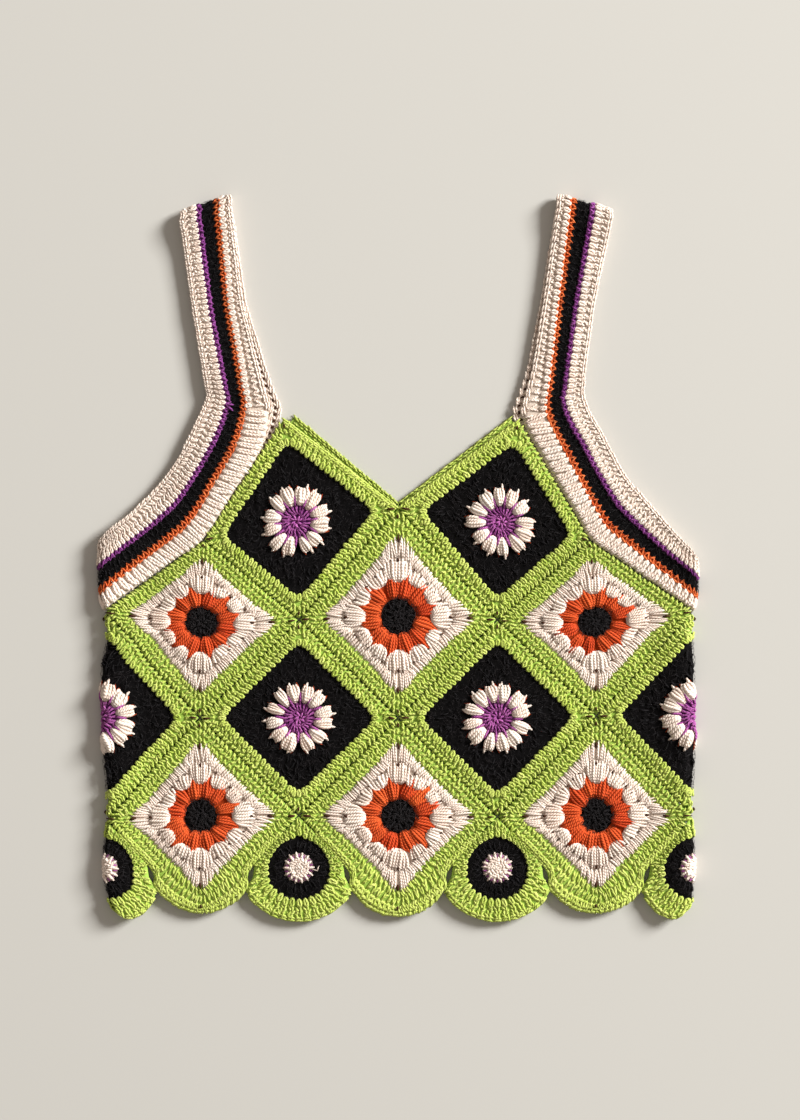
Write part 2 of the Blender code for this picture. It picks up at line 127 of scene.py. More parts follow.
def foldCloth(u, v, h, lift=0.0, band=0.0):
    # opened cloth in millimetres to a place in metres, as an array of points; lift
    # raises it towards a shoulder, and band is 1 where a band's edge bounds it
    u, v, h = np.broadcast_arrays(*(np.asarray(values, float) for values in (u, v, h)))
    back = np.abs(u) > side
    hand = np.where(u > 0, 1.0, -1.0)
    across = np.where(back, hand * 2 * side - u, u)
    hand = np.where(across > 0, 1.0, -1.0)
    face = np.where(back, -1.0, 1.0)
    fromFold = side - np.abs(across)
    h = np.where(back, mix(h, pressed(h), np.clip(fromFold / quarter, 0, 1)), h)
    turn = np.clip(fromFold / foldRadius, 0, math.pi / 2)
    bent = fromFold < quarter
    rise = foldRise * (1 - smooth((fromFold - quarter) / cloth["settle"]))
    out = np.where(bent, flatEdge + (foldRadius + h) * np.cos(turn), np.abs(across))
    flatZ = np.where(back, half - h, frontZ + np.maximum(rise, lift) + h)
    z = np.where(bent, foldZ + face * (foldRadius + h) * np.sin(turn), flatZ)
    leftWave, rightWave = (np.interp(v, edgeRows[:, 0], edgeRows[:, k]) for k in (1, 2))
    wave = mix(np.where(hand > 0, rightWave, leftWave), cloth["bandStandsOut"], band)
    waveFrom = cloth["waveFrom"]
    out = out + wave * smooth((np.abs(across) - waveFrom) / (flatEdge - waveFrom))
    return np.stack((hand * out, v, np.maximum(z, cloth["floorGap"])), axis=-1) * mm


def cornerPlace(face, row, column):
    dx, dy = nudge.get((row, column), (0.0, 0.0))
    if face == "back":
        dx, dy = backNudge.get((row, column), (dx, dy))
    x, y = column * pitch + dx, level[row] + dy
    return (x, y) if face == "front" else (2 * side - x, y)


def inSquare(corners, a, b):
    s, t = a + b, b - a
    weights = ((1 + s) * (1 - t), (1 + s) * (1 + t), (1 - s) * (1 + t), (1 - s) * (1 - t))
    return [sum(w * p[k] for w, p in zip(weights, corners)) / 4 for k in (0, 1)]


def scallop(halfWidth, top, bottom, share):
    drop = top - bottom
    radius = (halfWidth ** 2 + drop ** 2) / (2 * drop)
    across = halfWidth * (1 - share)
    return across, bottom + radius - math.sqrt(radius ** 2 - across ** 2)


def rimByAngle(points, centre):
    # outline as a table of direction, u and v, from 0 to a full turn
    rows = sorted((math.atan2(v - centre[1], u - centre[0]) % fullTurn, u, v) for u, v in points)
    before, after = rows[-1], rows[0]
    return np.array([(before[0] - fullTurn, *before[1:])] + rows
                    + [(after[0] + fullTurn, *after[1:])])


def rimAt(rim, x, y):
    angle = np.arctan2(y, x) % fullTurn
    return [np.interp(angle, rim[:, 0], rim[:, k]) for k in (1, 2)]


def hemSquareRim(corners):
    middle, steps = corners[3][0], hem["squareSteps"]
    points = [(pitch - hem["holeTop"][0], hem["holeTop"][1]),
              (pitch - hem["holeMiddle"][0] - hem["holeHalfWidth"], hem["holeMiddle"][1]),
              (pitch - hem["holeBottom"][0], hem["holeBottom"][1])]
    foot = pitch - hem["valley"][0]
    points += [scallop(foot, hem["valley"][1], corners[3][1], k / steps) for k in range(steps)]
    rim = [corners[3]]
    for hand, corner in ((-1, corners[2]), (1, corners[0])):
        edge = [(middle + hand * x, y) for x, y in points]
        rim += edge + [mixPoint(corner, edge[0], k / 4) for k in range(4)]
    return rimByAngle(rim, inSquare(corners, 0, 0))


def smallRim(top, folded):
    middle, foot, steps = top[0], cloth["smallHem"], hem["smallSteps"]
    points = [hem["holeTop"], (hem["holeMiddle"][0] - hem["holeHalfWidth"], hem["holeMiddle"][1]),
              hem["holeBottom"]]
    points += [scallop(*hem["valley"], foot, k / steps) for k in range(steps)]
    if folded:
        draw = cloth["pinch"]
        points = [(x, y + draw * max(0, 1 - x / cloth["pinchWidth"]) ** 2) for x, y in points]
        foot += draw
    points = [mixPoint((0.0, top[1]), points[0], k / 4) for k in (1, 2, 3)] + points
    rim = [(middle - x, y) for x, y in points] + [(middle + x, y) for x, y in points]
    return rimByAngle(rim + [top, (middle, foot)], (middle, cloth["smallCentre"]))


def squarePlace(corners, rim=None):
    # a square's own x and y, 71.5 mm to each corner, to u and v
    def toCloth(x, y):
        flat = inSquare(corners, x / pitch, y / pitch)
        if rim is None:
            return flat
        field = cloth["field"]
        reach = np.maximum(np.abs(x) + np.abs(y), 1e-6)
        share = (reach - field) / (pitch - field)
        inner = inSquare(corners, x / reach * field / pitch, y / reach * field / pitch)
        curved = (share > 0) & (y < 0)
        return [np.where(curved, mix(a, b, share), c)
                for a, b, c in zip(inner, rimAt(rim, x, y), flat)]
    return toCloth


def smallPlace(top, folded):
    # a small motif's own x and y: ring radius 20.5 mm, then 15 mm of border
    rim = smallRim(top, folded)

    def toCloth(x, y):
        out = np.maximum(np.hypot(x, y), 1e-6)
        inner = np.minimum(out, cloth["ring"])
        share = (out - inner) / cloth["smallBorder"]
        ring = top[0] + x / out * inner, cloth["smallCentre"] + y / out * inner
        return [mix(a, b, share) for a, b in zip(ring, rimAt(rim, x, y))]
    return toCloth


def bandPlace(hand):
    # an armhole band: the place of s along it, c across it and h, and its widths
    sign = -1 if hand == "left" else 1
    shares, heights, table = bandGrid["shares"], bandGrid["heights"], strapTable[hand]
    gridShare, gridH = np.meshgrid(shares, heights, indexing="ij")
    drifts = {"front": 0.0, "back": backDrift[hand]}

    def strapRow(down):
        place = down * (len(table) - 1)
        i = min(int(place), len(table) - 2)
        row = np.array(mixPoint(table[i], table[i + 1], place - i))
        return row[:2], row[2:]

    outer, neck = strapRow(0)
    along = (neck - outer) / np.linalg.norm(neck - outer)
    up = np.array((-along[1], along[0]))
    up = up if up[1] > 0 else -up
    footOuter, footNeck = outer - up * foldZ, neck - up * foldZ

    def innerEdge(face, along):
        stops = [cornerPlace(face, row, column * sign)
                 for column, row in enumerate(("tip", "one", "two"), 1)]
        if face == "back":
            stops = [(2 * side - u, v) for u, v in stops]
        i = min(int(along), 1)
        return np.array(mixPoint(stops[i], stops[i + 1], along - i))

    def flat(face, outer, inner, lift=0.0):
        inner = mix(inner, outer, bandGrid["squareGap"] / np.linalg.norm(inner - outer))
        x, y = (mix(outer[k], inner[k], gridShare) for k in (0, 1))
        u = x if face == "front" else sign * 2 * side - x
        return foldCloth(u, y, gridH, lift, 1 - gridShare ** bandGrid["edgePower"])

    def shoulder(degrees):
        angle = math.radians(degrees)
        press = min(1.0, max(0.0, -angle / bandGrid["pressAngle"]))
        reach = foldRadius + mix(gridH, pressed(gridH), press)
        foot = footOuter + (footNeck - footOuter) * gridShare[..., None]
        place = foot + up * (reach * math.cos(angle))[..., None]
        z = np.maximum(foldZ + reach * math.sin(angle), cloth["floorGap"])
        return np.concatenate((place, z[..., None]), axis=-1) * mm, 0.0

    def strap(face, down):
        outer, neck = (footOuter, footNeck) if down == 0 else strapRow(down)
        below = 0.0 if down == 0 else (footNeck - neck) @ up
        shift = np.array((drifts[face] * down, 0.0))
        lift = foldRise * (1 - smooth(below / cloth["settle"]))
        return flat(face, outer + shift, neck + shift, lift), down

    def armhole(face, x, y, along):
        outer = np.array((x + drifts[face] * (1 - along / 2), y))
        return flat(face, outer, innerEdge(face, along)), 1 + along / 2

    def underarm(face, step):
        share = step / bandGrid["underarmSteps"]
        at = flatEdge + quarter * share
        cornerX = abs(innerEdge(face, 1)[0])
        low, high = underarmRise[hand]
        outer = np.array((sign * at, mix(high, low, math.sin(share * math.pi / 2))))
        inner = np.array((sign * at, innerEdge(face, 1 + (at - cornerX) / (side - cornerX))[1]))
        return flat(face, outer, inner), 2.0

    def armSide(face):
        return ([strap(face, down) for down in bandGrid["strapRows"]]
                + [armhole(face, *row) for row in armholeTable[hand][1:]]
                + [underarm(face, k) for k in range(bandGrid["underarmSteps"])])

    # the lines across the ring: shoulder, front, fold under the arm, back
    lines = [shoulder(a) for a in (0, 30, 60)] + armSide("front")
    lines.append(underarm("front", bandGrid["underarmSteps"]))
    firstBack = len(lines)
    lines += armSide("back")[::-1] + [shoulder(a) for a in (-60, -30)]
    grid, zone = np.array([line for line, _ in lines]), np.array([z for _, z in lines])
    count = len(grid)
    middle = grid[:, 4, 4]
    steps = np.linalg.norm(np.roll(middle, -1, axis=0) - middle, axis=1) / mm
    at = np.concatenate(((0.0,), np.cumsum(steps)))
    widths = np.linalg.norm(np.diff(grid[:, :, 4], axis=1), axis=2).sum(axis=1) / mm
    widths, zones = np.append(widths, widths[0]), np.append(zone, zone[0])

    def toPlace(s, c, h):
        # smooth curve through the lines along s, straight between them in c and h
        s = s % at[-1]
        i = np.clip(np.searchsorted(at, s, side="right") - 1, 0, count - 1)
        t = ((s - at[i]) / (at[i + 1] - at[i]))[..., None]
        over = bandGrid["overhang"]
        share = np.clip(c / np.interp(s, at, widths), -over, 1 + over) * (len(shares) - 1)
        j = np.clip(share.astype(int), 0, len(shares) - 2)
        p = (share - j)[..., None]
        k = np.clip(np.searchsorted(heights, h, side="right") - 1, 0, len(heights) - 2)
        q = ((h - heights[k]) / (heights[k + 1] - heights[k]))[..., None]

        def line(n):
            n = n % count
            low, high = (mix(grid[n, j, m], grid[n, j + 1, m], p) for m in (k, k + 1))
            return mix(low, high, q)

        a, b, c, d = (line(i + n) for n in (-1, 0, 1, 2))
        before = (at[i] - at[i - 1]) % at[-1]
        here = at[i + 1] - at[i]
        after = steps[(i + 1) % count]
        slopeB = (c - a) / (before + here)[..., None] * here[..., None]
        slopeC = (d - b) / (here + after)[..., None] * here[..., None]
        place = ((2 * t ** 3 - 3 * t ** 2 + 1) * b + (t ** 3 - 2 * t ** 2 + t) * slopeB
                 + (-2 * t ** 3 + 3 * t ** 2) * c + (t ** 3 - t ** 2) * slopeC)
        place[..., 2] = np.maximum(place[..., 2], cloth["floorGap"] * mm)
        return place

    return {
        "length": at[-1], "toPlace": toPlace, "flip": sign > 0,
        "width": lambda s: np.interp(s % at[-1], at, widths),
        "zone": lambda s: np.interp(s % at[-1], at, zones),
        "under": lambda s: (s > at[firstBack]) & (s < at[-1]),
    }


print("cloth mapping ready")


def startShape(addPrimitive, **settings):
    # a new primitive in edit mode, with nothing else selected
    bpy.ops.object.select_all(action="DESELECT")
    addPrimitive(**settings)
    bpy.ops.object.mode_set(mode="EDIT")
    return bpy.context.object


def asTriangles(shape):
    # points and triangles of a shape in edit mode, which is then removed
    bpy.ops.mesh.select_all(action="SELECT")
    bpy.ops.mesh.quads_convert_to_tris(quad_method="BEAUTY", ngon_method="BEAUTY")
    bpy.ops.object.mode_set(mode="OBJECT")
    points = np.array([v.co[:] for v in shape.data.vertices])
    tris = np.array([p.vertices[:] for p in shape.data.polygons])
    bpy.data.objects.remove(shape)
    return points, tris


yarnTubes = {}


def tubeParts(sides, rings):
    # one straight strand: a cylinder cut into rings, as ring, angle and faces
    if (sides, rings) not in yarnTubes:
        tube = startShape(bpy.ops.mesh.primitive_cylinder_add, vertices=sides, radius=1,
                          depth=1, end_fill_type="NGON")
        for k in range(1, rings):
            bpy.ops.mesh.select_all(action="SELECT")
            bpy.ops.mesh.bisect(plane_co=(0, 0, k / rings - 0.5), plane_no=(0, 0, 1))
        points, tris = asTriangles(tube)
        ring = np.round((points[:, 2] + 0.5) * rings).astype(int)
        angle = np.arctan2(points[:, 1], points[:, 0]) / fullTurn % 1.0
        yarnTubes[sides, rings] = ring, angle, tris
    return yarnTubes[sides, rings]


def unwrapped(uv, axis, size):
    # faces over the seam of a pattern go on past its end
    along = uv[:, :, axis]
    over = (along.max(axis=1) - along.min(axis=1)) > 0.5 * size
    uv[over, :, axis] += np.where(uv[over, :, axis] < 0.5 * size, size, 0.0)
    return uv


def strand(path, radius, sides):
    # yarn swept along a path in millimetres, its UV along and round it
    path = np.asarray(path, float)
    k, angle, tris = tubeParts(sides, len(path) - 1)
    radius = np.broadcast_to(np.asarray(radius, float), (len(path),))
    ahead = np.gradient(path, axis=0)
    ahead /= np.linalg.norm(ahead, axis=1)[:, None]
    across = np.cross((0.0, 0.0, 1.0), ahead)
    across /= np.maximum(np.linalg.norm(across, axis=1), 1e-6)[:, None]
    up = np.cross(ahead, across)
    turn = (fullTurn * angle)[:, None]
    ring = np.cos(turn) * across[k] + np.sin(turn) * up[k]
    steps = np.linalg.norm(np.diff(path, axis=0), axis=1)
    length = np.concatenate(((0.0,), np.cumsum(steps)))
    uv = np.stack((length[k], angle), axis=1)[tris]
    return {"points": path[k] + ring * radius[k][:, None], "tris": tris,
            "uv": unwrapped(uv, 1, 1.0)}


def joinStrands(parts):
    first = np.cumsum([0] + [len(part["points"]) for part in parts])
    return {"points": np.concatenate([part["points"] for part in parts]),
            "tris": np.concatenate([part["tris"] + start for part, start in zip(parts, first)]),
            "uv": np.concatenate([part["uv"] for part in parts])}


def yarnRing(length, width, radius, lift, around, sides):
    # the round head of a stitch: a torus drawn out to an oval
    tube = 0.3
    points, tris = asTriangles(startShape(
        bpy.ops.mesh.primitive_torus_add, major_segments=around, minor_segments=sides,
        major_radius=1.0, minor_radius=tube))
    turn = np.arctan2(points[:, 1], points[:, 0])
    out = (np.hypot(points[:, 0], points[:, 1]) - 1) / tube * radius
    up = points[:, 2] / tube * radius
    a, b = length / 2 - radius, width / 2 - radius
    normal = np.stack((b * np.cos(turn), a * np.sin(turn)), axis=1)
    normal /= np.linalg.norm(normal, axis=1)[:, None]
    flat = np.stack((a * np.cos(turn), b * np.sin(turn)), axis=1) + normal * out[:, None]
    z = up + radius * 0.8 + lift * np.cos(turn)
    size = math.pi * (a + b)
    share, ply = turn / fullTurn % 1.0, np.arctan2(up, out) / fullTurn % 1.0
    uv = unwrapped(np.stack((share * size, ply), axis=1)[tris], 0, size)
    return {"points": np.concatenate((flat, z[:, None]), axis=1), "tris": tris,
            "uv": unwrapped(uv, 1, 1.0)}


def hook(length, radius, bow, crown, sides, rings, tuck=0.5):
    # a strand that comes up out of the cloth, bows sideways and goes back in
    t = np.linspace(-1, 1, rings + 1)
    z = radius * 0.4 + crown * (1 - t ** 2) - tuck * t ** 6
    path = np.stack((t * length / 2, bow * (1 - t ** 2), z), axis=1)
    return strand(path, radius * (1 - 0.45 * t ** 4), sides)


def twist(length, radius, apart, turns, crown, sides, rings):
    # two strands laid round each other, as a treble's post shows from above
    t = np.linspace(-1, 1, rings + 1)
    parts = []
    for start in (0.0, math.pi):
        turn = start + turns * math.pi * t
        z = radius + crown * (1 - t ** 2) + 0.5 * apart * np.cos(turn) - 0.5 * t ** 6
        path = np.stack((t * length / 2, apart * np.sin(turn), z), axis=1)
        parts.append(strand(path, radius * (1 - 0.3 * t ** 4), sides))
    return joinStrands(parts)


def cluster(length, radius, profile, count, crown, sides, rings, horns, lean=0.0, core=0.8,
            end=0.5):
    # strands worked into one hole: a petal or a shell, its inner end at x = 0,
    # over a flat core that fills it; end is the height left at its outer end
    t = np.linspace(0, 1, rings + 1)
    width = np.interp(t, *zip(*profile))
    swell = np.interp(t, (0, 0.12, 0.35, 1), (0.15, 0.75, 1, end))
    thick = radius * np.interp(t, (0, 0.15, 0.75, 1), (0.6, 1, 1, 0.55))
    parts = []
    for j in range(count):
        off = 2 * j / (count - 1) - 1
        uneven = 0.03 * math.sin(2.7 * j + count)
        x = t * length * (1 + uneven + horns * (abs(off) ** 3 - 0.4) * t)
        sway = 0.3 * radius * math.sin(5 * j + 1) * np.sin(2 * math.pi * t)
        y = off * width + lean * t ** 3 + sway
        z = (radius * 0.5 + crown * swell * (1 - 0.5 * off ** 2)
             + 0.3 * radius * math.sin(4.1 * j))
        parts.append(strand(np.stack((x, y, z), axis=1), thick, sides))
    if core:
        path = np.stack((t * length * 0.94, lean * t ** 3, 0 * t), axis=1)
        filling = strand(path, np.maximum(core * width, 0.2), 5)
        filling["points"][:, 2] = filling["points"][:, 2] * 0.1 + 0.2 + 0.45 * crown
        parts.append(filling)
    return joinStrands(parts)


def hair(length, radius, curl):
    # one loose mohair fibre
    t = np.linspace(0, 1, 3)
    z = 0.2 + 0.9 * np.sin(math.pi * 0.6 * t)
    path = np.stack((t * length, curl * np.sin(2.2 * t), z), axis=1)
    return strand(path, radius * (1 - 0.6 * t), 3)


piles = {}   # the stitches of each piece, by its name


def addStitches(pileName, template, places, toSpace, flip=False):
    # copies of one stitch: x, y, turn, scales along, across and up, rise
    pile = piles.setdefault(pileName, {"points": [], "tris": [], "uv": [], "tint": [], "count": 0})
    if len(places) == 0:
        return
    x, y, turn, long, wide, tall, rise = (places[:, k:k + 1] for k in range(7))
    base = template["points"]
    px, py = base[None, :, 0] * long, base[None, :, 1] * wide
    localX = x + px * np.cos(turn) - py * np.sin(turn)
    localY = y + px * np.sin(turn) + py * np.cos(turn)
    points = toSpace(localX, localY, base[None, :, 2] * tall + rise)
    copies, size = len(places), len(base)
    tris = template["tris"][None] + (np.arange(copies) * size)[:, None, None] + pile["count"]
    uv = np.broadcast_to(template["uv"], (copies,) + template["uv"].shape).copy()
    uv[..., 0] = uv[..., 0] * long[:, :, None] + rng.uniform(0, 8, (copies, 1, 1))
    inside = ((wide * tall)[:, 0] < 0) != flip   # a mirrored stitch is turned the right way out
    tris[inside], uv[inside] = tris[inside][:, :, ::-1], uv[inside][:, :, ::-1]
    pile["points"].append(points.reshape(-1, 3))
    pile["tris"].append(tris.reshape(-1, 3))
    pile["uv"].append(uv.reshape(-1, 3, 2))
    pile["tint"].append(np.repeat(np.clip(rng.normal(0.5, 0.2, copies), 0, 1), size))
    pile["count"] += copies * size


def newPiece(name, mesh):
    mesh.update()
    piece = bpy.data.objects.new(name, mesh)
    bpy.context.scene.collection.objects.link(piece)
    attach(piece, "root")
    return piece


def pileToPiece(name, pile, material):
    # the joined copies as one mesh
    points, tris = np.concatenate(pile["points"]), np.concatenate(pile["tris"])
    mesh = bpy.data.meshes.new(name)
    mesh.vertices.add(len(points))
    mesh.vertices.foreach_set("co", points.astype(np.float32).ravel())
    mesh.loops.add(len(tris) * 3)
    mesh.loops.foreach_set("vertex_index", tris.astype(np.int32).ravel())
    mesh.polygons.add(len(tris))
    mesh.polygons.foreach_set("loop_start", np.arange(0, len(tris) * 3, 3, dtype=np.int32))
    mesh.polygons.foreach_set("use_smooth", np.ones(len(tris), dtype=bool))
    layer = mesh.uv_layers.new(name="yarnUV")
    layer.data.foreach_set("uv", np.concatenate(pile["uv"]).astype(np.float32).ravel())
    tint = mesh.attributes.new("tint", "FLOAT", "POINT")
    tint.data.foreach_set("value", np.concatenate(pile["tint"]).astype(np.float32))
    mesh.materials.append(material)
    print(f"{name}: {len(tris)} triangles")
    return newPiece(name, mesh)


def linear(hexColour):
    # sRGB hex to the linear colour that a shader takes
    parts = [int(hexColour[k:k + 2], 16) / 255 for k in (1, 3, 5)]
    return [c / 12.92 if c <= 0.04045 else ((c + 0.055) / 1.055) ** 2.4 for c in parts] + [1.0]


def setNode(tree, node, inputs, links):
    for key, value in inputs.items():
        node.inputs[key].default_value = value
    for key, output in links.items():
        tree.links.new(output, node.inputs[key])
    return node


def addNode(tree, kind, settings=None, inputs=None, links=None):
    node = tree.nodes.new("ShaderNode" + kind)
    for key, value in (settings or {}).items():
        setattr(node, key, value)
    return setNode(tree, node, inputs or {}, links or {})


def newMaterial(name):
    material = bpy.data.materials.new(name)
    material.use_nodes = True
    return material, material.node_tree


def spunYarn(name, look):
    # spun yarn: matt, soft, with its plies as fine slanting ridges; its colour is painted darker in
    # the hollows between the plies, as painted shade
    material, tree = newMaterial(name)
    along, around = 0.628 / look["plyPitch"], 1.257   # these give a ridge every ply pitch
    uv = addNode(tree, "UVMap", {"uv_map": "yarnUV"}).outputs["UV"]
    lay = addNode(tree, "Mapping", {}, {"Scale": (along, around, 0.0)}, {"Vector": uv})
    plies = addNode(
        tree, "TexWave", {"bands_direction": "DIAGONAL"},
        {"Scale": 1.0, "Distortion": 1.2, "Detail": 2.0, "Detail Scale": 2.0},
        {"Vector": lay.outputs["Vector"]}).outputs["Fac"]
    place = {"Vector": addNode(tree, "TexCoord").outputs["Object"]}
    fibreScale = {"Scale": 1 / (look["fibre"] * mm), "Detail": 3.0, "Roughness": 0.7}
    fibres = addNode(tree, "TexNoise", {}, fibreScale, place).outputs["Fac"]
    dye = addNode(tree, "TexNoise", {}, {"Scale": 45.0, "Detail": 3.0}, place).outputs["Fac"]
    tint = addNode(tree, "Attribute", {"attribute_name": "tint"}).outputs["Fac"]
    deep, light = linear(look["deep"]), linear(look["light"])
    tone = addNode(tree, "Mix", {"data_type": "RGBA"}, {"A": deep, "B": light}, {"Factor": tint})
    patch = addNode(
        tree, "MapRange", {}, {"From Min": 0.3, "From Max": 0.7, "To Min": 0.9, "To Max": 1.06},
        {"Value": dye})
    # painted shade: the colour is darkened in the hollows between the plies
    paintedGrooveShade = addNode(
        tree, "MapRange", {}, {"To Min": look["paintedGrooveShade"], "To Max": 1.0}, {"Value": plies})
    # real dye patches times the painted shade of the ply hollows
    shade = addNode(
        tree, "Math", {"operation": "MULTIPLY"}, {},
        {0: patch.outputs["Result"], 1: paintedGrooveShade.outputs["Result"]}).outputs[0]
    grey = addNode(tree, "CombineColor", {}, {}, {"Red": shade, "Green": shade, "Blue": shade})
    colour = addNode(
        tree, "Mix", {"data_type": "RGBA", "blend_type": "MULTIPLY"}, {"Factor": 1.0},
        {"A": tone.outputs["Result"], "B": grey.outputs["Color"]})
    ridges = addNode(
        tree, "Bump", {}, {"Strength": look["ridge"], "Distance": 0.4 * mm}, {"Height": plies})
    fluff = addNode(
        tree, "Bump", {}, {"Strength": 0.35, "Distance": 0.2 * mm},
        {"Height": fibres, "Normal": ridges.outputs["Normal"]})
    setNode(tree, tree.nodes["Principled BSDF"],
            {"Roughness": look["roughness"], "Specular IOR Level": look["specular"],
             "Sheen Weight": look["sheen"], "Sheen Roughness": 0.4, "Sheen Tint": light},
            {"Base Color": colour.outputs["Result"], "Normal": fluff.outputs["Normal"]})
    return material


def shadedDepthOf(name, hexColour):
    # the same yarn deep between the stitches, where little light gets in: its colour is painted
    # darker as painted shade, and blotched darker still by a fine noise
    material, tree = newMaterial(name)
    place = {"Vector": addNode(tree, "TexCoord").outputs["Object"]}
    tangle = addNode(tree, "TexNoise", {}, {"Scale": 700.0, "Detail": 3.0}, place).outputs["Fac"]
    full = linear(hexColour)
    dark = [c * 0.6 for c in full[:3]] + [1.0]
    colour = addNode(tree, "Mix", {"data_type": "RGBA"}, {"A": dark, "B": full}, {"Factor": tangle})
    bump = addNode(tree, "Bump", {}, {"Strength": 0.6, "Distance": 0.6 * mm}, {"Height": tangle})
    setNode(tree, tree.nodes["Principled BSDF"],
            {"Roughness": 0.95, "Specular IOR Level": 0.1},
            {"Base Color": colour.outputs["Result"], "Normal": bump.outputs["Normal"]})
    return material


# worsted cotton, plied: matt with a faint soft sheen, its two plies drawn 2.1 mm
# apart so that they show. Each finish also sets how far the colour is darkened in
# the hollows between its plies: painted shade
cotton = {"plyPitch": 2.1, "fibre": 0.35, "paintedGrooveShade": 0.66, "ridge": 0.8, "roughness": 0.85,
          "specular": 0.25, "sheen": 0.15}
# brushed mohair: near black, its loose fibres catch a little light
mohair = {"plyPitch": 1.6, "fibre": 0.5, "paintedGrooveShade": 0.8, "ridge": 0.6, "roughness": 0.8,
          "specular": 0.2, "sheen": 0.1}
# name: finish, and the colours of its deep and light stitches; the two thin
# stripes of the bands are pulled tighter and show a purer colour
yarnColours = {
    "greenCottonYarn": (cotton, "#BDD356", "#DFEA80"),
    # cream is darkened less in its ply hollows: less painted shade
    "creamCottonYarn": ({**cotton, "paintedGrooveShade": 0.9}, "#F4DDCE", "#FAECE0"),
    "orangeCottonYarn": (cotton, "#D2411A", "#F16B30"),
    "purpleCottonYarn": (cotton, "#96408E", "#CE76C0"),
    "orangeStripeYarn": (cotton, "#E25A22", "#FF8E50"),
    "purpleStripeYarn": (cotton, "#742A78", "#A857A6"),
    "blackMohairYarn": (mohair, "#0B0A0C", "#1C191C"),
    # the loose fibres are a lighter grey than the black yarn: a painted highlight of the light they
    # catch
    "mohairFibre": (mohair, "#1A1719", "#4A4446"),
}
yarns = {name: spunYarn(name, {**look, "deep": deep, "light": light})
         for name, (look, deep, light) in yarnColours.items()}
# the same yarns in the ground under the stitches, in darker colours: painted shade
shadedDepthColours = {
    "greenCottonDepth": "#AACC58", "creamCottonDepth": "#EBDACB", "orangeCottonDepth": "#B8441A",
    "purpleCottonDepth": "#7C3082", "blackMohairDepth": "#0C0A0B",
}
depths = [shadedDepthOf(name, colour) for name, colour in shadedDepthColours.items()]
green, cream, orange, purple, black = range(len(depths))
# dark brown painted shade for the small openings between stitches, drawn as dark stubs among them
yarns["openingShade"] = shadedDepthOf("openingShade", "#4A2E20")   # small openings between stitches
print("materials ready")


def stitchKit(sides, rings, long, around):
    # every stitch that repeats, modelled once, in millimetres
    petal = ((0, 0.6), (0.16, 2.0), (0.45, 3.1), (0.75, 3.3), (1, 2.5))
    petalEdge = tuple((t, w + 1.0) for t, w in petal)
    orangePetal = ((0, 1.2), (0.16, 3.2), (0.5, 4.6), (0.78, 4.5), (1, 1.4))
    shell = ((0, 2.0), (0.14, 4.1), (0.4, 5.6), (0.75, 6.6), (1, 7.2))
    fan = ((0, 2.8), (0.1, 5.0), (0.35, 7.2), (0.7, 8.0), (1, 8.2))
    plain, worked = {"sides": sides, "rings": rings}, {"sides": sides, "rings": long}
    return {
        "head": yarnRing(6.5, 4.15, 1.0, lift=0.3, around=around, sides=sides),
        "bandHead": yarnRing(6.6, 3.95, 1.02, lift=0.2, around=around, sides=sides),
        "hook": hook(5.6, 0.86, bow=0.5, crown=0.65, **plain),
        "blackHook": hook(5.6, 0.8, bow=0.5, crown=0.4, sides=3, rings=2),
        "chain": hook(6.0, 0.85, bow=0.35, crown=0.45, tuck=0.3, **plain),
        "thinHook": hook(7.0, 0.6, bow=0.3, crown=0.4, **plain),
        "creamPost": hook(9.6, 0.84, bow=0.35, crown=0.5, sides=sides, rings=rings + 1, tuck=0.35),
        "post": twist(8.0, 0.72, apart=0.5, turns=0.9, crown=0.5, sides=3, rings=long),
        "orangePetal": cluster(17.2, 1.2, orangePetal, 5, 1.7, horns=-0.12, end=0.4, **worked),
        "shell": cluster(9.8, 1.12, shell, 6, 1.5, horns=-0.1, end=0.25, **worked),
        "fan": cluster(15.6, 1.12, fan, 8, 1.5, horns=-0.12, end=0.2, **worked),
        "creamPetal": cluster(12.9, 1.4, petal, 4, 2.0, horns=0.05, lean=0.5, core=0.9, **worked),
        "petalEdge": cluster(13.4, 0.5, petalEdge, 2, 0.7, sides=3, rings=long, horns=0.06,
                             lean=0.5, core=0.0, end=0.6),
        "spike": hook(6.4, 1.0, bow=0.0, crown=0.5, tuck=0.1, **plain),
        "mohairShort": hair(3.6, 0.16, curl=0.8),
        "mohairLong": hair(6.5, 0.14, curl=-1.9),
        # a short stub that carries the painted shade of an opening
        "hole": hook(2.6, 0.8, bow=0.0, crown=0.3, sides=5, rings=2, tuck=0.2),
    }


frontKit = stitchKit(4, 3, 5, 9)
backKit = stitchKit(3, 2, 3, 7)
print("stitches modelled")


def sideRow(k, out, step, fan=9.0, trim=0.0):
    # stitches side by side along a square's side, fanning at its corners
    reach = out - trim
    count = max(2, round(2 * reach / step))
    along = ((np.arange(count) + 0.5) / count * 2 - 1) * reach
    normal = math.radians(45 + 90 * k)
    turn = np.full(count, normal)
    if fan:
        turn += np.sign(along) * math.pi / 4 * smooth((np.abs(along) - (out - fan)) / fan)
    x = out * math.cos(normal) - along * math.sin(normal)
    y = out * math.sin(normal) + along * math.cos(normal)
    return x, y, turn


def ringRow(out, count, start=0.0):
    turn = np.radians(start) + np.arange(count) * fullTurn / count
    return out * np.cos(turn), out * np.sin(turn), turn


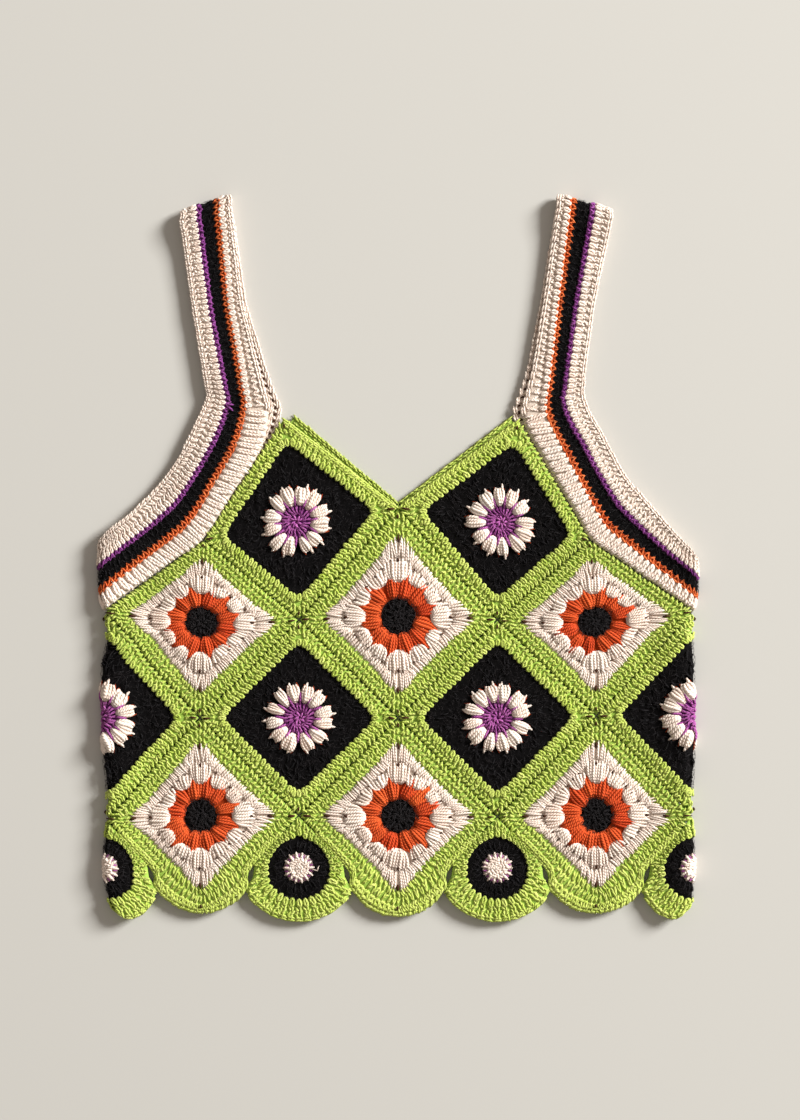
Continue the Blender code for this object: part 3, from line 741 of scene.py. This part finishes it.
def lay(x, y, turn, long=1.0, wide=1.0, tall=1.0, rise=0.5, loose=0.25):
    # a table of places, each stitch a little uneven, as by hand
    x, y, turn, long, wide, tall, rise = np.broadcast_arrays(
        *map(np.atleast_1d, (x, y, turn, long, wide, tall, rise)))
    n = len(x)
    return np.stack((
        x + rng.normal(0, loose, n), y + rng.normal(0, loose, n),
        turn + rng.normal(0, 0.35 * loose, n), long * rng.normal(1, 0.15 * loose, n),
        wide * rng.normal(1, 0.3 * loose, n), tall + 0.0 * x,
        rise + rng.normal(0, 0.3 * loose, n)), axis=1)


def scattered(x, y, rise, loose, mirrored=True):
    # loose fibres lie any way round
    n = len(x)
    turn, long = rng.uniform(0, fullTurn, n), rng.uniform(0.6, 1.1, n)
    wide = rng.uniform(-1, 1, n) if mirrored else 1.0
    return lay(x, y, turn, long, wide, rise=rise, loose=loose)


def span(starts, ends, length, rise, loose):
    # strands of this length laid from one point to another
    starts, ends = np.asarray(starts, float), np.asarray(ends, float)
    middle, way = (starts + ends) / 2, ends - starts
    return lay(middle[:, 0], middle[:, 1], np.arctan2(way[:, 1], way[:, 0]),
               np.hypot(way[:, 0], way[:, 1]) / length, rise=rise, loose=loose)


def turned(points, angle):
    x, y = points[:, 0], points[:, 1]
    c, s = math.cos(angle), math.sin(angle)
    return np.stack((x * c - y * s, x * s + y * c), axis=1)


def motifs():
    # every motif with its kind, how its own plane lies, and its free sides
    found = []

    def add(node, kind, toCloth, free=()):
        found.append({"node": node, "kind": kind, "toCloth": toCloth, "free": free,
                      "layer": "back" if node.startswith("back") else "front"})

    rows = (("top", (-1, 1), "tip", "one", "two"), ("second", (-2, 0, 2), "one", "two", "three"),
            ("third", (-1, 1), "two", "three", "four"),
            ("fourth", (-2, 0, 2), "three", "four", "hem"))
    names = {-2: "left", -1: "left", 0: "middle", 1: "right", 2: "right"}
    for face in ("front", "back"):
        for row, columns, above, beside, below in rows:
            for column in columns:
                steps = (1, -1) if face == "front" else (-1, 1)
                east, west = (cornerPlace(face, beside, column + step) for step in steps)
                corners = [east, cornerPlace(face, above, column), west,
                           cornerPlace(face, below, column)]
                rim = hemSquareRim(corners) if row == "fourth" else None
                neckSide = 0 if (column < 0) == (face == "front") else 1
                add(f"{face}_{row}_{names[column]}",
                    "flower" if row in ("top", "third") else "shell", squarePlace(corners, rim),
                    {"top": (neckSide,), "fourth": (2, 3)}.get(row, ()))
        for column in (-1, 1):
            top = cornerPlace(face, "four", column)
            add(f"{face}_hem_{names[column]}", "small", smallPlace(top, False))
    for name, hand in (("left", -1), ("right", 1)):
        column = 3 * hand
        front, back = (cornerPlace(face, "three", 2 * hand) for face in ("front", "back"))
        if hand < 0:
            back = (back[0] - 4 * side, back[1])
        east, west = (back, front) if hand > 0 else (front, back)
        top, bottom = cornerPlace("front", "two", column), cornerPlace("front", "four", column)
        add(f"side_third_{name}", "flower", squarePlace([east, top, west, bottom]))
        add(f"side_hem_{name}", "small", smallPlace(bottom, True))
    return found


def stitch(motif, colour, template, places):
    # adds copies of one stitch to the pile of its layer and yarn
    def toSpace(x, y, h):
        return foldCloth(*motif["toCloth"](x, y), h)
    kit = backKit if motif["layer"] == "back" else frontKit
    addStitches(motif["layer"] + colour, kit[template], places, toSpace)


def ringOf(motif, colour, template, out, count, start=0.0, lean=0.0, **how):
    # one round of stitches about the middle of a motif
    x, y, turn = ringRow(out, count, start)
    stitch(motif, colour, template, lay(x, y, turn + lean, **how))


# Rows of a border: distance from the middle, way or amount of lean, and length
border = {
    "step": 4.3, "apart": 1.05, "lean": 0.36, "splay": 0.28, "loose": 0.26, "headRow": 41.4,
    "shell": ((40.7, 1, 0.92), (44.4, -1, 0.95), (48.3, 1, 0.9)),
    "flower": ((45.3, 1, 0.92), (48.6, -1, 0.88)),
    "cornerHeads": ((55.0, 0.0), (53.8, 4.4), (53.8, -4.4)),
    "freeChains": ((47.4, 0.75), (49.2, 0.7), (50.6, 0.3)),
    "openingRing": 66.3, "openingLength": np.array((1.9, 1.0, 1.9, 1.0)), "hemFrom": -14,
}


def greenBorder(motif):
    # shells: three rows of strands; flowers: a row of round heads, then two
    flower = motif["kind"] == "flower"
    pile = "GreenFlowerBorders" if flower else "GreenShellBorders"
    for k in range(4):
        if flower:
            x, y, turn = sideRow(k, border["headRow"], step=4.45, fan=8.0, trim=3.0)
            stitch(motif, pile, "head", lay(x, y, turn + border["lean"], rise=1.0, loose=0.2))
        for out, way, long in border[motif["kind"]]:
            for part in (-1, 1):
                x, y, turn = sideRow(k, out, border["step"])
                shift = part * border["apart"]
                x, y = x - shift * np.sin(turn), y + shift * np.cos(turn)
                turn = turn + way * border["lean"] + border["splay"] * part
                stitch(motif, pile, "hook",
                       lay(x, y, turn, long, float(part), rise=0.6, loose=border["loose"]))
        for out, rise in border["freeChains"] if k in motif["free"] else ():
            x, y, turn = sideRow(k, out, step=4.4, fan=0.0)
            turn = turn + math.pi / 2 + 0.1
            keep = (y < border["hemFrom"]) | flower
            stitch(motif, pile, "chain", lay(x, y, turn, rise=rise, loose=0.12)[keep])
            if motif["layer"] == "back" and flower:
                stitch(motif, pile, "chain", lay(x, y, turn, tall=-1.0, rise=-1.55))
    if flower:
        for out, off in border["cornerHeads"]:
            ringOf(motif, pile, "head", out, 4, off, math.radians(2 * off), rise=1.1, loose=0.2)
    if motif["layer"] == "front":
        # dark stubs of painted shade in the openings near each corner
        ringOf(motif, "Openings", "hole", border["openingRing"], 4,
               long=border["openingLength"], wide=1.1, rise=2.3, loose=0.2)


creamSquare = {
    "centre": 13.4, "fibres": {"front": 300, "back": 60}, "petals": 12, "petalRing": 12.1,
    "petalUneven": 0.7, "shellRing": 23.2, "shellAngles": (30.0, 60.0), "edgeRow": 33.9,
    "edgeLengths": (0.86, 0.98, 0.9), "edgeRises": (0.9, 1.2, 1.05),
    "edgeOpenings": 30.4, "cornerOpenings": np.array((37.6, 51.4)),
    # strands from the mid-corner to the edge: start and end
    "tips": np.array((
        ((39.6, 1.2), (53.0, 2.3)), ((38.4, 2.5), (52.3, 3.9)), ((37.6, 3.9), (51.0, 5.4)),
        ((36.6, 5.3), (49.3, 6.8)), ((35.4, 6.7), (47.4, 8.2)), ((34.4, 8.3), (45.3, 9.8)),
        ((33.6, 9.9), (43.3, 11.4)))),
}


def shellSquare(motif):
    look = creamSquare
    ringOf(motif, "BlackCentres", "hook", 8.2, 14, long=1.4, rise=0.4, loose=0.4)
    ringOf(motif, "BlackCentres", "hook", 3.0, 7, lean=0.8, rise=0.6, loose=0.4)
    count = look["fibres"][motif["layer"]]
    out, angle = look["centre"] * np.sqrt(rng.uniform(0, 1, count)), rng.uniform(0, fullTurn, count)
    stitch(motif, "MohairFibres", "mohairShort",
           scattered(out * np.cos(angle), out * np.sin(angle), rise=1.6, loose=0.3,
                     mirrored=False))
    out = look["petalRing"] + rng.normal(0, look["petalUneven"], look["petals"])
    ringOf(motif, "OrangePetals", "orangePetal", out, look["petals"], 15,
           long=0.96, rise=0.5, loose=0.3)
    for k in range(4):
        corner, ring = math.pi / 2 * k, look["shellRing"]
        angle = corner + np.radians(look["shellAngles"])
        stitch(motif, "CreamShells", "shell",
               lay(ring * np.cos(angle), ring * np.sin(angle), angle, rise=1.0, loose=0.3))
        stitch(motif, "CreamShells", "fan",
               lay(ring * math.cos(corner), ring * math.sin(corner), corner, rise=1.0, loose=0.25))
        for part in (-1, 1):
            ends = look["tips"] * (1, part)
            places = span(turned(ends[:, 0], corner), turned(ends[:, 1], corner), length=8.6,
                          rise=1.05, loose=0.3)
            stitch(motif, "CreamShells", "creamPost", places)
        x, y, turn = sideRow(k, look["edgeRow"], step=1.62, fan=12.0, trim=10.5)
        turn = (turn + math.radians(45 + 90 * k)) / 2
        long, rise = (np.resize(look[key], len(x)) for key in ("edgeLengths", "edgeRises"))
        stitch(motif, "CreamShells", "creamPost", lay(x, y, turn, long, rise=rise, loose=0.3))
        if motif["layer"] == "front":
            # dark stubs of painted shade in the openings along each side and at the corner
            x, y, turn = sideRow(k, look["edgeOpenings"], step=6.4, fan=0.0, trim=13.0)
            stitch(motif, "Openings", "hole",
                   lay(x, y, turn + 0.5, long=0.7, wide=0.62, rise=2.3, loose=0.4))
            out = look["cornerOpenings"]
            stitch(motif, "Openings", "hole",
                   lay(out * math.cos(corner), out * math.sin(corner), corner,
                       long=(1.1, 1.7), wide=(1.2, 1.4), rise=(2.1, 1.8), loose=0.2))


blackSquare = {
    "field": (25.0, 36.5), "strands": {"front": 170, "back": 60},
    "fibreField": (23.0, 38.8), "fibres": {"front": 1150, "back": 150},
    "shares": {"mohairShort": 0.55, "mohairLong": 0.45}, "petals": 12, "petalRing": 11.4,
    # a tip of yarn at the outer end of each petal, left or right of its middle
    "tipOut": 12.6, "tipAside": 2.2, "tipLeft": 0.6,
}


def insideField(count, innermost, edge):
    # random places on the black field, outside a circle and inside its sides
    reach = edge * math.sqrt(2)
    x, y = rng.uniform(-reach, reach, count * 4), rng.uniform(-reach, reach, count * 4)
    keep = (np.abs(x) + np.abs(y) < reach) & (np.hypot(x, y) > innermost)
    return x[keep][:count], y[keep][:count]


def flowerSquare(motif):
    look, layer = blackSquare, motif["layer"]
    x, y = insideField(look["strands"][layer], *look["field"])
    turn = np.arctan2(y, x) + rng.normal(0, 0.5, len(x))
    stitch(motif, "BlackRounds", "blackHook", lay(x, y, turn, long=1.1, rise=0.3, loose=0.6))
    for template, share in look["shares"].items():
        x, y = insideField(int(look["fibres"][layer] * share), *look["fibreField"])
        stitch(motif, "MohairFibres", template, scattered(x, y, rise=1.3, loose=0.5))
    places = lay(*ringRow(look["petalRing"], look["petals"], 12), rise=0.8, loose=0.3)
    stitch(motif, "CreamPetals", "creamPetal", places)
    places[:, 6] -= 0.1   # the orange edge lies under its petal
    stitch(motif, "OrangePetals", "petalEdge", places)
    left = rng.uniform(0, 1, look["petals"]) < look["tipLeft"]
    aside, out = np.where(left, look["tipAside"], -look["tipAside"]), look["tipOut"]
    turn = places[:, 2]
    x = places[:, 0] + out * np.cos(turn) - aside * np.sin(turn)
    y = places[:, 1] + out * np.sin(turn) + aside * np.cos(turn)
    stitch(motif, "CreamPetals", "spike", lay(x, y, turn, long=0.85, rise=1.0, loose=0.1))
    ringOf(motif, "PurpleCentres", "post", 7.9, 22, lean=0.15, rise=0.7, loose=0.25)
    ringOf(motif, "PurpleCentres", "hook", 3.0, 8, lean=0.4, long=0.9, rise=1.0, loose=0.3)
    ringOf(motif, "PurpleCentres", "spike", 14.4, look["petals"], 27,
           long=1.25, wide=0.9, rise=1.9, loose=0.2)


smallRound = {
    "centreRows": ((6.6, 20), (4.8, 16), (2.9, 11), (1.0, 4)), "fibreRing": (10.0, 22.0),
    "fibres": {"front": 460, "back": 60}, "shares": {"mohairShort": 0.6, "mohairLong": 0.4},
    "borderRows": ((27.9, 0.36), (30.5, -0.36), (32.5, 0.3)), "borderStitches": 34, "apart": 2.5,
    "chainRows": ((33.4, 0.75), (34.9, 0.3)), "chainHalfWidth": 30,
    # one loose end of yarn: starts, ends, length, rise and looseness
    "tailOn": "front_hem_left", "tailWidth": 0.55,
    "tail": (((9.6, -1.2), (13.3, -2.2)), ((13.6, -2.1), (14.5, 1.6)), 6.2, 2.2, 0.05),
}


def smallMotif(motif):
    look, pile = smallRound, "GreenFlowerBorders"
    ringOf(motif, "CreamPetals", "spike", 8.1, 14, long=1.05, rise=1.1, loose=0.25)
    for out, count in look["centreRows"]:
        ringOf(motif, "CreamPetals", "hook", out, count, lean=rng.normal(0.9, 0.5, count),
               long=0.75, wide=1.25, rise=1.5, loose=0.3)
    ringOf(motif, "PurpleCentres", "thinHook", 8.6, 14, 13, long=0.55, rise=0.9, loose=0.2)
    ringOf(motif, "BlackRounds", "blackHook", 15.8, 30, long=1.7, rise=0.3, loose=0.6)
    for template, share in look["shares"].items():
        count = int(look["fibres"][motif["layer"]] * share)
        out, angle = rng.uniform(*look["fibreRing"], count), rng.uniform(0, fullTurn, count)
        stitch(motif, "MohairFibres", template,
               scattered(out * np.cos(angle), out * np.sin(angle), rise=1.2, loose=0.4))
    ringOf(motif, pile, "head", 24.5, 32, lean=0.2, long=0.95, rise=0.9, loose=0.2)
    for out, lean in look["borderRows"]:
        for part in (-1, 1):
            ringOf(motif, pile, "hook", out, look["borderStitches"], part * look["apart"],
                   lean + border["splay"] * part, long=0.95, wide=float(part), rise=0.6,
                   loose=border["loose"])
    for out, rise in look["chainRows"]:
        x, y, turn = ringRow(out, 40)
        keep = (y < border["hemFrom"]) & (np.abs(x) < look["chainHalfWidth"])
        places = lay(x, y, turn + math.pi / 2, rise=rise, loose=0.12)
        stitch(motif, pile, "chain", places[keep])
    if motif["node"] == look["tailOn"]:
        tail = span(*look["tail"])
        tail[:, 4] *= look["tailWidth"]
        stitch(motif, "CreamPetals", "thinHook", tail)


allMotifs = motifs()
for motif in allMotifs:
    {"shell": shellSquare, "flower": flowerSquare, "small": smallMotif}[motif["kind"]](motif)
    if motif["kind"] != "small":
        greenBorder(motif)
print(f"{len(allMotifs)} motifs stitched")

# Where each colour of a band starts, as a share of the width, at the shoulder,
# at the elbow and under the arm
bandRows = {"purple": (0.31, 0.29, 0.34), "black": (0.41, 0.37, 0.42),
            "orange": (0.68, 0.55, 0.68), "inner": (0.78, 0.63, 0.78)}
bandLook = {
    "step": {"left": 4.35, "right": 4.8}, "apart": 1.1, "curveFrom": 0.98, "strapTo": 1.3,
    "outerChains": ((0.7, 0.35), (2.3, 0.75)), "innerChains": ((0.7, 0.35), (2.4, 0.75)),
    "posts": ((0.3, 0.45), (0.75, -0.35)), "blackRows": (0.2, 0.5, 0.8),
    "undersideChains": (0.8, 2.5, 6.3, 8.0, 10.4, 12.4), "undersideGap": 4.4,
    "fibres": {"mohairShort": 13, "mohairLong": 4}, "hiddenFibres": 0.15,
    # the purple loop in the black at the left elbow: along, across and turn
    "loop": ((152.6, 155.2), (18.4, 19.0), np.array((0.3, -0.35))),
}
bands = {hand: bandPlace(hand) for hand in ("left", "right")}


def rowStart(band, row, s):
    return np.interp(band["zone"](s), (0, 1, 2), bandRows[row]) * band["width"](s)


def stitchBand(hand):
    band, look, upright = bands[hand], bandLook, math.pi / 2
    step = look["step"][hand]
    wide = step / look["step"]["left"]
    count = round(band["length"] / step)
    s = np.arange(count) * band["length"] / count
    under = band["under"](s)
    width, zone = band["width"](s), band["zone"](s)
    purple, black, orange, inner = (rowStart(band, row, s) for row in bandRows)
    room = width - inner
    curve, strap = zone > look["curveFrom"], under & (zone < look["strapTo"])

    def add(colour, template, places, hidden):
        for kit, keep in ((frontKit, ~hidden), (backKit, hidden)):
            addStitches(hand + colour, kit[template], places[keep], band["toPlace"], band["flip"])

    def row(colour, template, along, c, turn, keep=slice(None), plain=None, **how):
        # a row along the band, or the part of it to keep
        places = lay(s + along, c, turn, **how)[keep]
        add(colour, template, places, under[keep] if plain is None else plain[keep])

    for c, rise in look["outerChains"]:
        row("BandCream", "chain", 0.0, c, 0.1, rise=rise, loose=0.12)
    for part in (-1, 1):
        mirror, reach, along = part + 0 * s, purple - 5.6, part * look["apart"]
        for share, lean in look["posts"]:
            row("BandCream", "hook", along, 2.6 + reach * share, upright + lean + 0.2 * part,
                long=reach * 0.62 / 5.0, wide=mirror, rise=0.6, loose=0.3)
        row("BandPurple", "hook", part * 1.05, (purple + black) / 2 + 0.2, upright - 0.55 * part,
            wide=mirror, rise=0.95, loose=0.2)
        tall = np.maximum(inner - orange, 2.4) + 0.8
        row("BandOrange", "thinHook", along, orange + tall / 2 - 1.2,
            upright - part * np.arctan2(2.2, tall), long=np.hypot(2.2, tall) / 5.8, wide=1.1,
            rise=0.95, loose=0.08)
    row("BandOrange", "chain", 0.0, inner - 0.9, 0.1, rise=0.75, loose=0.1)
    row("BandPurple", "chain", 0.0, purple + 0.9, -0.12, rise=0.4, loose=0.1)
    if hand == "left":
        along, c, turn = look["loop"]
        places = lay(along, c, upright + turn, rise=1.7, loose=0.05)
        add("BandPurple", "hook", places, np.zeros(2, bool))
    row("BandPurple", "chain", 0.0, black - 0.6, -0.12, wide=0.8, rise=0.55, loose=0.15)
    row("BandCream", "bandHead", 0.0, purple - 1.7, upright + 0.25, wide=wide, tall=0.9,
        rise=1.1, loose=0.15)
    for share in look["blackRows"]:
        row("BandBlack", "blackHook", 0.0, mix(black, orange, share), upright + 0.25, long=1.1,
            rise=0.35, loose=0.6)
    row("BandCream", "bandHead", step / 2, inner + 0.44 * room, upright + 0.16, curve,
        long=room * 1.14 / 6.6, wide=wide, tall=0.95, rise=1.0, loose=0.15)
    row("BandCream", "hook", 0.2, inner + 0.72 * room, upright + 0.1, curve,
        long=room * 0.5 / 5.6, rise=0.9, loose=0.2)
    row("BandCream", "bandHead", step / 2, inner + 1.3, upright + 0.2, ~curve,
        long=0.95, wide=wide, tall=0.9, rise=1.15, loose=0.15)
    for part in (-1, 1):
        long = np.maximum(room - 7.2, 1.5)
        row("BandCream", "hook", part * look["apart"], inner + 4.6 + long / 2,
            upright + 0.3 * part, ~curve, long=long / 4.6, wide=part + 0 * s,
            rise=0.55, loose=0.3)
    for back, rise in look["innerChains"]:
        row("BandCream", "chain", 0.0, width - back, 0.12, ~curve, rise=rise, loose=0.12)
    shown = np.zeros(count, bool)
    for back in look["undersideChains"]:
        row("BandCream", "chain", 0.0, width - back, 0.12, strap, shown,
            tall=-1.0, rise=-1.5, loose=0.15)
    row("BandCream", "chain", 0.0, width - look["undersideGap"], upright + 0.2, strap, shown,
        long=0.7, tall=-1.0, rise=-1.4, loose=0.1)
    # dark stubs of painted shade in the openings between the underside chains
    row("BandOpenings", "hole", step / 2, width - look["undersideGap"], upright, strap,
        long=0.8, tall=-1.0, rise=-1.9, loose=0.1)
    for template, amount in look["fibres"].items():
        at = np.repeat(s, amount) + rng.uniform(-step, step, count * amount)
        c = mix(rowStart(band, "black", at) - 0.6, rowStart(band, "orange", at) + 0.9,
                rng.uniform(0, 1, len(at)))
        at = at % band["length"]
        hidden = band["under"](at)
        keep = ~hidden | (rng.uniform(0, 1, len(at)) < look["hiddenFibres"])
        places = scattered(at, c, rise=1.3, loose=0.3)
        add("BandFibres", template, places[keep], hidden[keep])


for hand in bands:
    stitchBand(hand)
print("bands stitched")


def closedCloth(name, grids, capped):
    # one closed under-layer; each grid is an outer face, an inner face and the
    # material of each ring, and its first ring is capped or walled as its last is
    verts, faces, marks = [], [], []
    for outerFace, innerFace, material in grids:
        start = len(verts)
        rings, around = outerFace.shape[:2]
        low, last = rings * around, start + (rings - 1) * around
        verts += [tuple(p) for grid in (outerFace, innerFace) for p in grid.reshape(-1, 3)]
        for j in range(around):
            j2 = (j + 1) % around
            for i in range(rings - 1):
                a, b = start + i * around + j, start + i * around + j2
                faces += [(a, b, b + around, a + around),
                          (low + a + around, low + b + around, low + b, low + a)]
                marks += [material[i]] * 2
            walls = [(last + j2, last + j, material[rings - 2])]
            walls += [] if capped else [(start + j, start + j2, material[0])]
            for a, b, mark in walls:
                faces.append((a, b, low + b, low + a))
                marks.append(mark)
        if capped:
            ring = range(start, start + around)
            faces += [tuple(reversed(ring)), tuple(low + j for j in ring)]
            marks += [material[0]] * 2
    mesh = bpy.data.meshes.new(name)
    mesh.from_pydata(verts, [], faces)
    for material in depths:
        mesh.materials.append(material)
    mesh.polygons.foreach_set("material_index", marks)
    mesh.polygons.foreach_set("use_smooth", [True] * len(faces))
    piece = newPiece(name, mesh)
    bpy.ops.object.select_all(action="DESELECT")
    bpy.context.view_layer.objects.active = piece
    piece.select_set(True)
    bpy.ops.object.mode_set(mode="EDIT")
    bpy.ops.mesh.select_all(action="SELECT")
    bpy.ops.mesh.normals_make_consistent(inside=False)
    bpy.ops.object.mode_set(mode="OBJECT")
    print(f"{name}: {len(faces)} faces")
    return piece


# Rings of a motif's ground from the middle out: radius, how square, and colour, that is the yarn's
# darker painted-shade ground material
ground = {
    "shell": ((2, 0, black), (7, 0, black), (12.4, 0, orange), (19, 0, orange), (25.5, 0, cream),
              (36, 0.4, cream), (45, 0.8, cream), (52.3, 1, green), (59, 1, green),
              (64, 1, green), (70.6, 1, green)),
    "flower": ((2, 0, purple), (7, 0, purple), (12.0, 0, black), (19, 0, black),
               (25.5, 0, black), (36, 0.4, black), (47, 0.8, black), (57.2, 1, green),
               (61, 1, green), (65, 1, green), (70.6, 1, green)),
    "small": ((1.5, 0, cream), (5, 0, cream), (10.5, 0, black), (16, 0, black),
              (23.2, 0, green), (26, 0, green), (30, 0, green), (34.9, 0, green)),
    "around": 32, "edgeFrom": 69, "edgeTop": 0.2, "paleTop": 0.9, "darkTop": 0.55, "uneven": 0.12,
}


def motifGround(motif):
    rings = ground[motif["kind"]]
    angle = np.arange(ground["around"]) * fullTurn / ground["around"]
    reach = 1 / (np.abs(np.cos(angle)) + np.abs(np.sin(angle)))
    radius = np.array([out * mix(1.0, reach, square) for out, square, _ in rings])
    u, v = motif["toCloth"](radius * np.cos(angle), radius * np.sin(angle))
    tops = [ground["edgeTop"] if out > ground["edgeFrom"]
            else ground["paleTop" if colour in (cream, green) else "darkTop"]
            for out, _, colour in rings]
    top = np.array(tops)[:, None] + ground["uneven"] * np.sin(1.7 * u) * np.sin(1.9 * v)
    return foldCloth(u, v, top), foldCloth(u, v, -half), [colour for _, _, colour in rings]


bodyCloth = closedCloth("bodyCloth", [motifGround(m) for m in allMotifs], True)
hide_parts(*[m["node"] for m in allMotifs])

# the bands' ground rings take the same painted-shade ground materials
bandGround = {"step": 4.0, "heights": (0.75, -1.55), "edge": 0.015,
              "colours": [cream] * 3 + [purple] + [black] * 2 + [orange] + [cream] * 3}
for hand, band in bands.items():
    s = np.arange(0, band["length"], bandGround["step"])
    stops = [rowStart(band, row, s) for row in bandRows]
    width, edge = band["width"](s), bandGround["edge"]
    gridC = np.stack((
        edge * width, 0.35 * stops[0], 0.7 * stops[0], stops[0], stops[1],
        mix(stops[1], stops[2], 0.5), stops[2], stops[3], mix(stops[3], width, 0.33),
        mix(stops[3], width, 0.66), (1 - edge) * width))
    gridS = s + 0 * gridC
    faces = [band["toPlace"](gridS, gridC, h + 0 * gridS) for h in bandGround["heights"]]
    closedCloth(
        f"{hand}BandCloth", [(*faces, bandGround["colours"])], False)
    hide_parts(f"band_{hand}")

# What each yarn makes: its slot and its piles
yarnUses = {
    "greenCottonYarn": ("green_cotton", "GreenFlowerBorders", "GreenShellBorders"),
    "creamCottonYarn": ("cream_cotton", "CreamShells", "CreamPetals", "BandCream"),
    "orangeCottonYarn": ("orange_cotton", "OrangePetals"),
    "orangeStripeYarn": ("orange_cotton", "BandOrange"),
    "purpleCottonYarn": ("purple_cotton", "PurpleCentres"),
    "purpleStripeYarn": ("purple_cotton", "BandPurple"),
    "blackMohairYarn": ("black_mohair", "BlackCentres", "BlackRounds", "BandBlack"),
    "mohairFibre": ("black_mohair", "MohairFibres", "BandFibres"),
    "openingShade": ("cream_cotton", "Openings", "BandOpenings"),
}
carried = {"front": [], "back": [], "left": [], "right": []}
for name, pile in piles.items():
    layer = next(key for key in carried if name.startswith(key))
    yarn = next(key for key, uses in yarnUses.items() if name[len(layer):] in uses)
    carried[layer].append(pileToPiece(name, pile, yarns[yarn]))

view = {"middle": (1.4, -1.4), "frameHeight": 806.4, "lens": 100.0, "sensor": 24.0, "target": 8.0,
        "aspect": 800 / 1120}
cameraData = bpy.data.cameras.new("camera")
cameraData.sensor_fit = "VERTICAL"
cameraData.sensor_height = view["sensor"]
cameraData.sensor_width = view["sensor"] * view["aspect"]
cameraData.lens = view["lens"]
camera = bpy.data.objects.new("camera", cameraData)
distance = view["frameHeight"] / view["sensor"] * view["lens"]
camera.location = np.array((*view["middle"], distance + view["target"])) * mm
bpy.context.scene.collection.objects.link(camera)
bpy.context.scene.camera = camera

studio = {"floorSize": 16.0, "floorColour": "#C5C3BE", "floorRoughness": 0.7,
          "air": (1.0, 0.9, 0.8, 1), "airStrength": 0.36}
bpy.ops.object.select_all(action="DESELECT")
bpy.ops.mesh.primitive_plane_add(size=studio["floorSize"], location=(0, 0, 0))
floor = bpy.context.object
floor.name = "floor"
paper, paperTree = newMaterial("paleSurface")
setNode(paperTree, paperTree.nodes["Principled BSDF"],
        {"Base Color": linear(studio["floorColour"]), "Roughness": studio["floorRoughness"]}, {})
floor.data.materials.append(paper)

window = {"energy": 1915.0, "size": 3.2, "place": (7.6, 4.1, 4.4), "colour": (1.0, 0.998, 0.975)}
lampData = bpy.data.lights.new("window", "AREA")
lampData.energy, lampData.size, lampData.color = window["energy"], window["size"], window["colour"]
lamp = bpy.data.objects.new("window", lampData)
lamp.location = window["place"]
lampX, lampY, lampZ = window["place"]
lamp.rotation_euler = (math.atan2(math.hypot(lampX, lampY), lampZ), 0,
                       math.atan2(-lampY, -lampX) - math.pi / 2)
bpy.context.scene.collection.objects.link(lamp)
world = bpy.data.worlds.new("room")
world.use_nodes = True
setNode(world.node_tree, world.node_tree.nodes["Background"],
        {"Color": studio["air"], "Strength": studio["airStrength"]}, {})
bpy.context.scene.world = world
bpy.context.scene.view_settings.view_transform = "Standard"

total = sum(len(piece.data.polygons) for pieces in carried.values() for piece in pieces)
print(f"stitches in all: {total} triangles")
